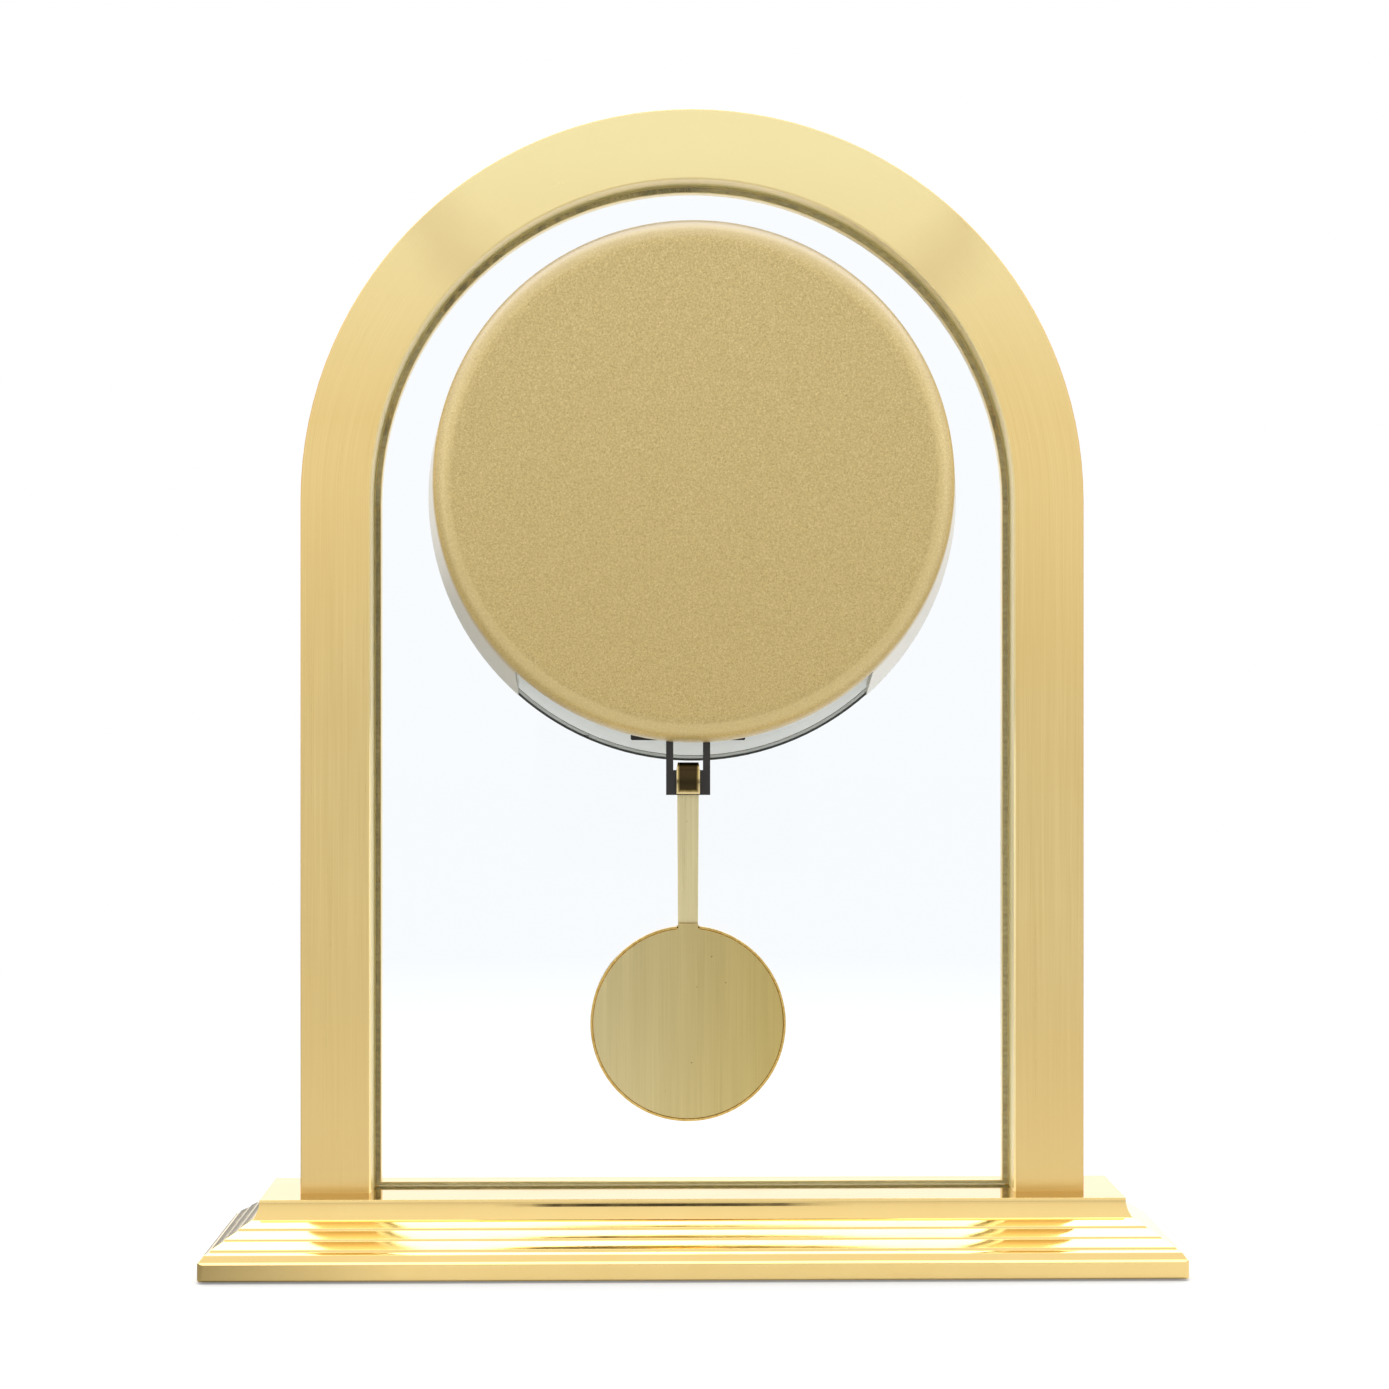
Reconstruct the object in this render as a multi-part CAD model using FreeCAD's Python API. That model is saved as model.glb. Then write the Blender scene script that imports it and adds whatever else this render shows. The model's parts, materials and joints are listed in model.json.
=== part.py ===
import FreeCAD, Part
import math
import os

from FreeCAD import Vector as V

# Arch-top mantel clock with a quartz pendulum movement, in millimetres.
# Origin: centre of the felt under the base. +Z up, the dial faces +Y, the rear cover faces -Y.
# Clockwise on the dial is the right-hand turn about -Y.

# ---- driving dimensions ----
BASE_HEIGHT = 17.5
PLATFORM_HALF_X = 104.05
PLATFORM_HALF_Y = 15.85
FELT = 1.2
RIM_LIFT = 0.5
PLATE = 2.0
CAVITY_TOP = 13.0

ARCH_RADIUS = 95.25
BAR_WIDTH = 17.0
SPRING_LINE = 168.25
ARCH_REAR = -7.0
ARCH_FRONT = 7.0
GLASS_REAR = -1.4
GLASS_FRONT = 3.3
TAPE = 0.3
LIP_WIDTH = 1.6
SILL_HEIGHT = 1.0

DIAL_Z = 187.0
SEAL_RADIUS = 64.75
COVER_Z = 189.9
COVER_RADIUS = 61.45
COVER_REAR = -28.0
COVER_WALL = 2.0
COVER_ROUND = 5.75
NOTCH_HALF = 42.6

CASE_HALF = 28.0
CASE_REAR = -18.4
CASE_FRONT = -2.4
CASE_WALL = 1.3
CASE_SPLIT = -8.0
BAY_TOP = -10.5

PENDULUM_X = -1.4
PIVOT_Z = 152.0
HANGER_REAR = -21.5
HANGER_FRONT = -19.5
HANGER_BOTTOM = 114.7
BAR_TOP = 120.6
BOB_Z = 60.2
BOB_RADIUS = 23.3

# gear train: teeth, module and place of each arbor against the dial's axis
CENTRE_TEETH, THIRD_PINION, CENTRE_MODULE = 60, 8, 0.3
THIRD_TEETH, SECONDS_PINION, FINE_MODULE = 80, 10, 0.2
SECONDS_TEETH, INTER_PINION = 60, 10
INTER_TEETH, ROTOR_PINION = 50, 10
CANNON_TEETH, MINUTE_TEETH = 12, 36
MINUTE_PINION, HOUR_TEETH, HOUR_MODULE = 10, 40, 0.45
MINUTE_WORK_GAP = (MINUTE_PINION + HOUR_TEETH) / 2 * HOUR_MODULE
CANNON_MODULE = 2 * MINUTE_WORK_GAP / (CANNON_TEETH + MINUTE_TEETH)
THIRD_ANGLE, SECONDS_ANGLE, INTER_ANGLE = 35.0, 100.0, 190.0
ROTOR_ANGLE, MINUTE_WORK_ANGLE = 200.0, 170.0
ARBOR = 0.5
PIVOT_CLEARANCE = 0.05
BACKLASH = 0.05

# hands at ten past ten
HOUR_HAND_TURN = 305.0
MINUTE_HAND_TURN = 60.0


# ---- helpers ----
def box(x0, x1, y0, y1, z0, z1):
    return Part.makeBox(x1 - x0, y1 - y0, z1 - z0, V(x0, y0, z0))


def rod_y(radius, y0, y1, x=0.0, z=DIAL_Z):
    """A cylinder along Y."""
    return Part.makeCylinder(radius, y1 - y0, V(x, y0, z), V(0, 1, 0))


def rod_z(radius, z0, z1, x, y):
    return Part.makeCylinder(radius, z1 - z0, V(x, y, z0), V(0, 0, 1))


def ring_y(outer, inner, y0, y1, x=0.0, z=DIAL_Z):
    return rod_y(outer, y0, y1, x, z).cut(rod_y(inner, y0 - 1, y1 + 1, x, z))


def prism_y(points, y0, y1):
    """Extrudes an outline of (x, z) points along Y."""
    face = Part.Face(Part.makePolygon([V(x, y0, z) for x, z in points + points[:1]]))
    return face.extrude(V(0, y1 - y0, 0))


def turned_y(points, x=0.0, z=DIAL_Z):
    """Revolves a closed outline of (radius, y) points about a Y axis."""
    wire = Part.makePolygon([V(x + r, y, z) for r, y in points + points[:1]])
    return Part.Face(wire).revolve(V(x, 0, z), V(0, 1, 0), 360)


def rounded_box_y(half_x, half_z, corner, y0, y1, x=0.0, z=DIAL_Z):
    """A box along Y with rounded corners in its X-Z outline."""
    solid = box(x - half_x, x + half_x, y0, y1, z - half_z, z + half_z)
    edges = [e for e in solid.Edges if abs(e.tangentAt(e.FirstParameter).y) > 0.9]
    return solid.makeFillet(corner, edges)


def fused(shapes):
    return shapes[0].multiFuse(shapes[1:]).removeSplitter()


def polar(centre, distance, degrees):
    a = math.radians(degrees)
    return centre[0] + distance * math.cos(a), centre[1] + distance * math.sin(a)


def save(name, shape):
    if shape.ShapeType != "Solid":
        solids = shape.Solids
        shape = solids[0] if len(solids) == 1 else Part.makeCompound(solids)
    shape.exportStep(f"parts/{name}.step")


def group(shapes):
    return Part.makeCompound(shapes)


# ---- gears ----
def involute(base, radius):
    """Angle that the involute has swept where it reaches a radius."""
    if radius <= base:
        return 0.0
    t = math.sqrt((radius / base) ** 2 - 1)
    return t - math.atan(t)


def gear_outline(teeth, module, centre, tooth_at):
    """Outline of an involute gear with one tooth pointing at the angle tooth_at (degrees)."""
    pitch = teeth * module / 2
    base = pitch * math.cos(math.radians(20))
    root = pitch - 1.15 * module
    tip = pitch + 0.85 * module
    half = math.pi / (2 * teeth) - BACKLASH / (2 * pitch)
    at_base = half + involute(base, pitch)
    flank = [root] + [r for r in (base, (base + pitch) / 2, pitch) if r > root + 0.01]
    flank += [(pitch + tip) / 2, tip]
    side = [(r, at_base - involute(base, r)) for r in flank]
    points = []
    for n in range(teeth):
        middle = math.radians(tooth_at) + 2 * math.pi * n / teeth
        for r, a in [(r, -a) for r, a in side] + [(r, a) for r, a in reversed(side)]:
            points.append((centre[0] + r * math.cos(middle + a),
                           centre[1] + r * math.sin(middle + a)))
    return points


def gear(teeth, module, centre, tooth_at, y0, y1):
    return prism_y(gear_outline(teeth, module, centre, tooth_at), y0, y1)


def spokes(centre, inner, outer, count, y0, y1):
    """Openings between the spokes of a wheel."""
    x, z = centre
    band = ring_y(outer, inner, y0 - 0.1, y1 + 0.1, x, z)
    bars = []
    for n in range(count):
        bar = box(0, outer + 1, y0 - 1, y1 + 1, -0.8, 0.8)
        bar.rotate(V(0, 0, 0), V(0, 1, 0), n * 360 / count + 20)
        bar.translate(V(x, 0, z))
        bars.append(bar)
    return band.cut(fused(bars)) if bars else band


def meshing(followed_teeth, teeth, direction, followed_tooth_at):
    """Tooth angle of a gear so that it has a gap where the followed gear's tooth is.

    direction: the angle from the followed gear's centre to this one's.
    """
    off = (direction - followed_tooth_at) * followed_teeth / teeth
    return direction + 180 + off + 180 / teeth


# places of the arbors in X-Z
DIAL_AXIS = (0.0, DIAL_Z)
THIRD_GAP = (CENTRE_TEETH + THIRD_PINION) / 2 * CENTRE_MODULE
THIRD_AXIS = polar(DIAL_AXIS, THIRD_GAP, THIRD_ANGLE)
SECONDS_GAP = (THIRD_TEETH + SECONDS_PINION) / 2 * FINE_MODULE
SECONDS_AXIS = polar(THIRD_AXIS, SECONDS_GAP, SECONDS_ANGLE)
INTER_GAP = (SECONDS_TEETH + INTER_PINION) / 2 * FINE_MODULE
INTER_AXIS = polar(SECONDS_AXIS, INTER_GAP, INTER_ANGLE)
ROTOR_GAP = (INTER_TEETH + ROTOR_PINION) / 2 * FINE_MODULE
ROTOR_AXIS = polar(INTER_AXIS, ROTOR_GAP, ROTOR_ANGLE)
MINUTE_WORK_AXIS = polar(DIAL_AXIS, MINUTE_WORK_GAP, MINUTE_WORK_ANGLE)


# ---- base ----
# treads and risers of the moulding below the cove: run and drop of each tread, then of its riser
STEPS = [(2.6, 1.44, 0.4, 0.56), (2.6, 1.44, 0.4, 0.51), (2.6, 1.44, 0.4, 0.61), (1.0, 0.4, 1.1, 1.5)]
TREAD_CROWN = 0.05
COVE_FOOT = (1.5, 12.9)
BAND_OUT = 13.08
BAND_TOP_DROP = 0.45
BAND_FOOT = 0.9
BAND_UNDERCUT = 0.38


def base_profile():
    """Moulding from the platform's edge outwards, as (how far out, height): three points are an arc."""
    out, height = COVE_FOOT
    parts = [[(0.0, BASE_HEIGHT), (0.35, 15.0), (out, height)]]
    for run, drop, riser_run, riser_drop in STEPS:
        tip = (out + run, height - drop)
        crown = (out + run / 2 + TREAD_CROWN / 2, height - drop / 2 + TREAD_CROWN)
        foot = (tip[0] + riser_run, tip[1] - riser_drop)
        parts += [[(out, height), crown, tip], [tip, foot]]
        out, height = foot
    band_top, band_low = (BAND_OUT, height - BAND_TOP_DROP), (BAND_OUT, BAND_FOOT)
    rim = (BAND_OUT - BAND_UNDERCUT, RIM_LIFT)
    return parts + [[(out, height), band_top], [band_top, band_low], [band_low, rim]]


def curve(points):
    """An arc through three points or a line through two."""
    return Part.Arc(*points).toShape() if len(points) == 3 else Part.makeLine(*points)


def moulded_bar(place, profile, half, length):
    """A bar of the profile on both sides of a middle plane, centred and extruded along its length."""
    edges = []
    for side in (-1, 1):
        edges += [curve([place(side * (half + u), z) for u, z in part]) for part in profile]
    for u, z in (profile[0][0], profile[-1][-1]):
        edges.append(Part.makeLine(place(-half - u, z), place(half + u, z)))
    face = Part.Face(Part.Wire(Part.__sortEdges__(edges)))
    face.translate(length * -0.5)
    return face.extrude(length)


def moulding(half_x, half_y, profile):
    """A solid whose four sides all follow the profile, mitred at the corners."""
    reach = 4 * half_x
    along_y = moulded_bar(lambda a, z: V(a, 0, z), profile, half_x, V(0, reach, 0))
    along_x = moulded_bar(lambda a, z: V(0, a, z), profile, half_y, V(reach, 0, 0))
    return along_y.common(along_x)


def rounded_slab(half_x, half_y, low, high, radius):
    """A slab with rounded upright corners, centred on the origin."""
    slab = box(-half_x, half_x, -half_y, half_y, low, high)
    corners = [e for e in slab.Edges if abs(e.tangentAt(e.FirstParameter).z) > 0.9]
    return slab.makeFillet(radius, corners)


ARCH_SCREW_X = ARCH_RADIUS - BAR_WIDTH / 2
BAND_CORNER = 1.5
BOSSES = [(x, y) for x in (-64, 64) for y in (-8.5, 8.5)]


def base_plinth():
    """Hollow moulded plinth with a recess below for the plate and bosses for its screws."""
    solid = moulding(PLATFORM_HALF_X, PLATFORM_HALF_Y, base_profile())
    reach = max(part[-1][0] for part in base_profile())
    solid = solid.common(rounded_slab(PLATFORM_HALF_X + reach, PLATFORM_HALF_Y + reach, 0,
                                      BASE_HEIGHT, BAND_CORNER))
    recess_x, recess_y = PLATFORM_HALF_X + 8.5, PLATFORM_HALF_Y + 8.5
    floor = FELT + PLATE
    solid = solid.cut(box(-recess_x, recess_x, -recess_y, recess_y, 0, floor))
    inner_x, inner_y = PLATFORM_HALF_X - 2, PLATFORM_HALF_Y - 2
    solid = solid.cut(box(-inner_x, inner_x, -inner_y, inner_y, floor - 1, CAVITY_TOP))
    solid = fused([solid] + [rod_z(3.5, floor, CAVITY_TOP, x, y) for x, y in BOSSES])
    for x, y in BOSSES:
        solid = solid.cut(rod_z(1.55, floor - 1, floor + 8, x, y))
    for x in (-ARCH_SCREW_X, ARCH_SCREW_X):
        solid = solid.cut(rod_z(2.2, CAVITY_TOP - 1, BASE_HEIGHT + 1, x, 0))
    return solid


def base_plate():
    half_x, half_y = PLATFORM_HALF_X + 8.3, PLATFORM_HALF_Y + 8.3
    plate = box(-half_x, half_x, -half_y, half_y, FELT, FELT + PLATE)
    for x, y in BOSSES:
        plate = plate.cut(Part.makeCone(3.05, 1.65, 1.4, V(x, y, FELT), V(0, 0, 1)))
        plate = plate.cut(rod_z(1.65, FELT, FELT + PLATE + 1, x, y))
    return plate


def base_felt():
    return rounded_slab(PLATFORM_HALF_X + 6.5, PLATFORM_HALF_Y + 6.5, 0, FELT, 4.0)


def base_plate_screws():
    screws = []
    for x, y in BOSSES:
        head = Part.makeCone(2.9, 1.5, 1.4, V(x, y, FELT + 0.02), V(0, 0, 1))
        shank = rod_z(1.5, FELT + 1.4, FELT + PLATE + 7, x, y)
        slot = box(x - 3, x + 3, y - 0.35, y + 0.35, FELT, FELT + 0.6)
        screws.append(fused([head, shank]).cut(slot))
    return group(screws)


def arch_fixing_screws():
    screws = []
    for x in (-ARCH_SCREW_X, ARCH_SCREW_X):
        head = rod_z(3.8, CAVITY_TOP - 2.5, CAVITY_TOP, x, 0)
        shank = rod_z(2.0, CAVITY_TOP - 0.1, BASE_HEIGHT + 12, x, 0)
        slot = box(x - 4, x + 4, -0.5, 0.5, CAVITY_TOP - 3, CAVITY_TOP - 1.4)
        screws.append(fused([head, shank]).cut(slot))
    return group(screws)


# ---- arch and glass ----
ARCH_EDGE = 0.15
OPENING_EDGE = 0.4


def arch_outline(radius, z0, y0, y1):
    """A round-topped upright slab: straight sides from z0 to the spring line, half circle above."""
    spring = BASE_HEIGHT + SPRING_LINE
    slab = box(-radius, radius, y0, y1, z0, spring)
    top = Part.makeCylinder(radius, y1 - y0, V(0, y0, spring), V(0, 1, 0))
    above = box(-radius - 1, radius + 1, y0 - 1, y1 + 1, spring, spring + radius + 1)
    return fused([slab, top.common(above)])


def arch_frame():
    """Brass arch, open to the rear down to a lip that the glass rests against."""
    opening = ARCH_RADIUS - BAR_WIDTH
    frame = arch_outline(ARCH_RADIUS, BASE_HEIGHT, ARCH_REAR, ARCH_FRONT)
    long_edges = [e for e in frame.Edges if abs(e.BoundBox.YMax - e.BoundBox.YMin) < 0.01
                  and e.BoundBox.ZMax > BASE_HEIGHT + 1]
    frame = frame.makeChamfer(ARCH_EDGE, long_edges)
    seat = GLASS_FRONT + TAPE
    frame = frame.cut(arch_outline(opening, BASE_HEIGHT - 1, ARCH_REAR - 1, seat))
    frame = frame.cut(arch_outline(opening - LIP_WIDTH, BASE_HEIGHT + SILL_HEIGHT,
                                   ARCH_REAR - 1, ARCH_FRONT + 1))
    edge = [e for e in frame.Edges if abs(e.BoundBox.YMax - ARCH_REAR) < 0.01
            and abs(e.BoundBox.YMin - ARCH_REAR) < 0.01
            and e.BoundBox.XMax < opening + 0.01 and e.BoundBox.XMin > -opening - 0.01
            and e.BoundBox.ZMax > BASE_HEIGHT + 1]
    frame = frame.makeChamfer(OPENING_EDGE, edge)
    for x in (-ARCH_SCREW_X, ARCH_SCREW_X):
        frame = frame.cut(rod_z(2.05, BASE_HEIGHT - 1, BASE_HEIGHT + 13, x, 0))
    return frame


def glass_pane():
    pane = arch_outline(ARCH_RADIUS - BAR_WIDTH - 0.15, BASE_HEIGHT + 0.1, GLASS_REAR, GLASS_FRONT)
    return pane.cut(rod_y(5.0, GLASS_REAR - 1, GLASS_FRONT + 1))


def glass_bedding_tape():
    """Thin clear tape between the pane and the lip, following the lip."""
    outer = ARCH_RADIUS - BAR_WIDTH - 0.2
    inner = ARCH_RADIUS - BAR_WIDTH - LIP_WIDTH + 0.2
    tape = arch_outline(outer, BASE_HEIGHT + 0.2, GLASS_FRONT, GLASS_FRONT + TAPE)
    return tape.cut(arch_outline(inner, BASE_HEIGHT + SILL_HEIGHT - 0.2, 0, ARCH_FRONT))


# ---- rear cover ----
def cover_form(inset, y0):
    """The cover's tapering form, from y0 to the glass, shrunk by inset."""
    wires = []
    for y, radius, z in ((y0, COVER_RADIUS, COVER_Z), (GLASS_REAR - 0.1, SEAL_RADIUS - 0.1, DIAL_Z)):
        circle = Part.makeCircle(radius - inset, V(0, y, z), V(0, 1, 0))
        wires.append(Part.Wire([circle]))
    return Part.makeLoft(wires, True, True)


def rear_cover():
    """A cup with a rounded rear rim, cut away below for the pendulum."""
    form = cover_form(0, COVER_REAR)
    rim = [e for e in form.Edges if e.BoundBox.YMax < COVER_REAR + 0.01]
    form = form.makeFillet(COVER_ROUND, rim)
    hollow = cover_form(COVER_WALL, COVER_REAR + COVER_WALL)
    rim = [e for e in hollow.Edges if e.BoundBox.YMax < COVER_REAR + COVER_WALL + 0.01]
    cup = form.cut(hollow.makeFillet(COVER_ROUND - COVER_WALL, rim))
    notch = box(-NOTCH_HALF, NOTCH_HALF, COVER_REAR + COVER_ROUND - 0.25, 0, 100, COVER_Z - 20)
    return cup.cut(notch)


def cover_ring():
    """Ring on the glass that the cover's skirt pushes over, open below for the pendulum."""
    ring = ring_y(60.5, 58.9, GLASS_REAR - 5.6, GLASS_REAR)
    gap = box(-NOTCH_HALF - 2, NOTCH_HALF + 2, -20, 0, 100, DIAL_Z - 20)
    return ring.cut(gap)


# ---- dial side ----
def dial_plate():
    return rod_y(63.4, GLASS_FRONT + 0.1, GLASS_FRONT + 0.9).cut(rod_y(4.1, 0, 20))


def dial_seal():
    return ring_y(SEAL_RADIUS, 63.5, GLASS_FRONT, GLASS_FRONT + 1.6)


def dial_bezel():
    """Turned brass bezel with a rounded front and a seat for the lens."""
    y = GLASS_FRONT + 0.9
    rounded = []
    for n in range(9):
        a = math.radians(90 * n / 8)
        rounded.append((SEAL_RADIUS - 3.8 + 3.8 * math.cos(a), y + 6.0 + 4.2 * math.sin(a)))
    points = [(57.0, y), (63.4, y), (63.4, y + 0.7), (SEAL_RADIUS, y + 0.7)]
    points += rounded + [(59.3, y + 10.2), (58.7, y + 9.6), (58.7, y + 7.8), (57.6, y + 7.8)]
    return turned_y(points)


def dial_lens():
    """Domed lens in the bezel's seat."""
    y = GLASS_FRONT + 0.9 + 7.85
    edge, rise, thick = 58.6, 5.0, 1.6
    outer = (edge ** 2 + rise ** 2) / (2 * rise)
    shell = Part.makeSphere(outer, V(0, y + thick + rise - outer, DIAL_Z))
    hollow = Part.makeSphere(outer, V(0, y + rise - outer, DIAL_Z))
    disc = rod_y(edge, y, y + 20)
    return shell.cut(hollow).common(disc)


def hour_markers():
    """Twelve applied batons, the quarters longer."""
    y = GLASS_FRONT + 0.9
    batons = []
    for n in range(12):
        length = 6.0 if n % 3 == 0 else 4.0
        baton = box(-0.75, 0.75, y, y + 0.5, 52.5 - length, 52.5)
        baton.rotate(V(0, 0, 0), V(0, 1, 0), 30 * n)
        baton.translate(V(0, 0, DIAL_Z))
        batons.append(baton)
    return group(batons)


def hand(length, width, tail, hub, bore, y0, y1, turn):
    """A leaf-shaped hand with a round hub, turned clockwise from twelve."""
    left = Part.Arc(V(-0.35, y0, length), V(-width / 2, y0, length * 0.42), V(-0.7, y0, 0)).toShape()
    right = Part.Arc(V(0.7, y0, 0), V(width / 2, y0, length * 0.42), V(0.35, y0, length)).toShape()
    tip = Part.makeLine(V(0.35, y0, length), V(-0.35, y0, length))
    foot = Part.makePolygon([V(-0.7, y0, 0), V(-0.9, y0, -tail), V(0.9, y0, -tail), V(0.7, y0, 0)])
    face = Part.Face(Part.Wire([left] + foot.Edges + [right, tip]))
    blade = face.extrude(V(0, y1 - y0, 0))
    blade = fused([blade, rod_y(hub, y0, y1, 0, 0)]).cut(rod_y(bore, y0 - 1, y1 + 1, 0, 0))
    blade.rotate(V(0, 0, 0), V(0, -1, 0), turn)
    blade.translate(V(0, 0, DIAL_Z))
    return blade


HOUR_HAND_Y = 7.7
MINUTE_HAND_Y = 9.6


def hour_hand():
    return hand(33.0, 6.4, 6.0, 4.2, 2.58, HOUR_HAND_Y, HOUR_HAND_Y + 0.5, HOUR_HAND_TURN)


def minute_hand():
    return hand(48.0, 5.2, 9.0, 3.2, 1.22, MINUTE_HAND_Y, MINUTE_HAND_Y + 0.5, MINUTE_HAND_TURN)


def hand_nut():
    y = MINUTE_HAND_Y + 0.5
    nut = turned_y([(0, y), (2.4, y), (2.4, y + 0.9), (1.7, y + 1.5), (0, y + 1.5)])
    return nut.cut(rod_y(1.22, y - 0.5, y + 1.1))


# ---- movement casing ----
BEARINGS = [THIRD_AXIS, SECONDS_AXIS, INTER_AXIS, ROTOR_AXIS]


def movement_front_case():
    """Front half of the movement's case, with the threaded boss that goes through glass and dial."""
    shell = rounded_box_y(CASE_HALF, CASE_HALF, 3, CASE_SPLIT, CASE_FRONT)
    inner = CASE_HALF - CASE_WALL
    shell = shell.cut(rounded_box_y(inner, inner, 2, CASE_SPLIT - 1, CASE_FRONT - CASE_WALL))
    shell = fused([shell, rod_y(4.0, CASE_FRONT, GLASS_FRONT + 4.2)])
    shell = shell.cut(rod_y(2.65, CASE_FRONT - 5, GLASS_FRONT + 6))
    for x, z in BEARINGS + [MINUTE_WORK_AXIS]:
        shell = shell.cut(rod_y(ARBOR + PIVOT_CLEARANCE, CASE_FRONT - CASE_WALL - 1,
                                CASE_FRONT - 0.5, x, z))
    return shell


def movement_rear_case():
    """Rear half of the case, with the open battery bay and the rear bearings."""
    shell = rounded_box_y(CASE_HALF, CASE_HALF, 3, CASE_REAR, CASE_SPLIT - 0.05)
    inner = CASE_HALF - CASE_WALL
    shell = shell.cut(rounded_box_y(inner, inner, 2, CASE_REAR + CASE_WALL, CASE_SPLIT + 1))
    divider = box(-inner - 0.5, inner + 0.5, CASE_REAR, CASE_SPLIT - 0.05,
                  DIAL_Z + BAY_TOP - 0.8, DIAL_Z + BAY_TOP)
    shell = fused([shell, divider])
    shell = shell.cut(box(-26.4, 26.4, CASE_REAR - 1, CASE_REAR + CASE_WALL + 0.1,
                          DIAL_Z - 26.7, DIAL_Z + BAY_TOP - 0.8))
    for x, z in BEARINGS + [DIAL_AXIS]:
        shell = shell.cut(rod_y(ARBOR + PIVOT_CLEARANCE, CASE_REAR + 0.5,
                                CASE_REAR + CASE_WALL + 1, x, z))
    x, z = MINUTE_WORK_AXIS
    shell = shell.cut(rod_y(1.2 + PIVOT_CLEARANCE, CASE_REAR - 1, CASE_REAR + 3, x, z))
    for x, z in CASE_SCREWS:
        shell = shell.cut(rod_y(1.1, CASE_REAR - 1, CASE_REAR + 3, x, z))
    return shell


CASE_SCREWS = [(x, DIAL_Z + z) for x, z in ((-24, 24), (24, 24), (-24, -7), (24, -7))]


def case_screws():
    """Self-tapping screws from the rear into pillars of the front half."""
    screws = []
    for x, z in CASE_SCREWS:
        head = rod_y(1.9, CASE_REAR - 1.2, CASE_REAR, x, z)
        slot = box(x - 2, x + 2, CASE_REAR - 2, CASE_REAR - 0.7, z - 0.25, z + 0.25)
        screws.append(fused([head, rod_y(1.0, CASE_REAR - 0.1, CASE_REAR + 8, x, z)]).cut(slot))
    return group(screws)


def case_pillars():
    """Bored pillars inside the case that take its screws."""
    top = CASE_FRONT - CASE_WALL
    return group([ring_y(2.2, 1.05, CASE_REAR + CASE_WALL, top, x, z) for x, z in CASE_SCREWS])


def fixing_washer():
    return ring_y(9.0, 4.2, CASE_FRONT, GLASS_REAR)


def fixing_nut():
    """Hexagon nut on the threaded boss, in front of the dial."""
    y = GLASS_FRONT + 1.4
    corners = [polar(DIAL_AXIS, 6.9, 60 * n) for n in range(6)]
    return prism_y(corners, y, y + 2.2).cut(rod_y(4.02, y - 1, y + 4))


def nut_washer():
    return ring_y(8.0, 4.1, GLASS_FRONT + 0.9, GLASS_FRONT + 1.4)


# ---- battery and electrics ----
BATTERY_Z = DIAL_Z - 19.1
BATTERY_Y = -11.2


def battery():
    """AA cell lying across the bay, its button to the left."""
    def along_x(radius, x0, x1):
        return Part.makeCylinder(radius, x1 - x0, V(x0, BATTERY_Y, BATTERY_Z), V(1, 0, 0))
    return fused([along_x(7.1, -23.6, 24.9), along_x(2.7, -25.0, -23.5)])


def battery_contacts():
    plus = box(-26.3, -25.1, BATTERY_Y - 4, BATTERY_Y + 4, BATTERY_Z - 4, BATTERY_Z + 4)
    minus = box(25.7, 26.3, BATTERY_Y - 4, BATTERY_Y + 4, BATTERY_Z - 4, BATTERY_Z + 4)
    dimple = Part.makeCone(3.0, 1.2, 0.7, V(25.7, BATTERY_Y, BATTERY_Z), V(-1, 0, 0))
    return group([plus, fused([minus, dimple])])


def circuit_board():
    board = box(-26, -15, -16.4, -15.4, DIAL_Z - 3.5, DIAL_Z + 1.5)
    chip = Part.makeCylinder(1.9, 0.9, V(-18.0, -15.4, DIAL_Z - 1), V(0, 1, 0))
    return fused([board, chip])


def quartz_crystal():
    can = Part.makeCylinder(1.0, 5.5, V(-25.9, -14.3, DIAL_Z - 1.2), V(1, 0, 0))
    return can.makeFillet(0.3, [e for e in can.Edges if e.BoundBox.XMax - e.BoundBox.XMin < 0.01])


COIL_X = -19.0
STATOR_Y = (-13.2, -12.4)


def motor_coil():
    core = box(COIL_X - 1.3, COIL_X + 1.3, STATOR_Y[0] - 0.3, STATOR_Y[1] + 0.3,
               DIAL_Z + 3, DIAL_Z + 21)
    middle = (STATOR_Y[0] + STATOR_Y[1]) / 2
    return rod_z(3.2, DIAL_Z + 5.5, DIAL_Z + 18.5, COIL_X, middle).cut(core)


def motor_stator():
    """Soft-iron core through the coil with two arms to a ring round the rotor."""
    y0, y1 = STATOR_Y
    x, z = ROTOR_AXIS
    core = box(COIL_X - 1, COIL_X + 1, y0, y1, DIAL_Z + 2, DIAL_Z + 22)
    low = prism_y([(COIL_X - 1, DIAL_Z + 2), (COIL_X + 1, DIAL_Z + 1.6), (x, z - 4.2),
                   (x, z - 2.2), (COIL_X + 1, DIAL_Z + 3.6), (COIL_X - 1, DIAL_Z + 3.6)], y0, y1)
    high = prism_y([(COIL_X - 1, DIAL_Z + 20.4), (COIL_X + 1, DIAL_Z + 20.4), (x, z + 2.2),
                    (x, z + 4.2), (COIL_X + 1, DIAL_Z + 22.4), (COIL_X - 1, DIAL_Z + 22)], y0, y1)
    plate = fused([core, low, high, rod_y(4.2, y0, y1, x, z)])
    return plate.cut(rod_y(2.9, y0 - 1, y1 + 1, x, z))


# ---- wheels ----
def arbor(centre, y0=CASE_REAR + 0.6, y1=CASE_FRONT - 0.6):
    return rod_y(ARBOR, y0, y1, *centre)


def wheel_set(centre, parts):
    return fused([arbor(centre)] + parts)


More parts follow.
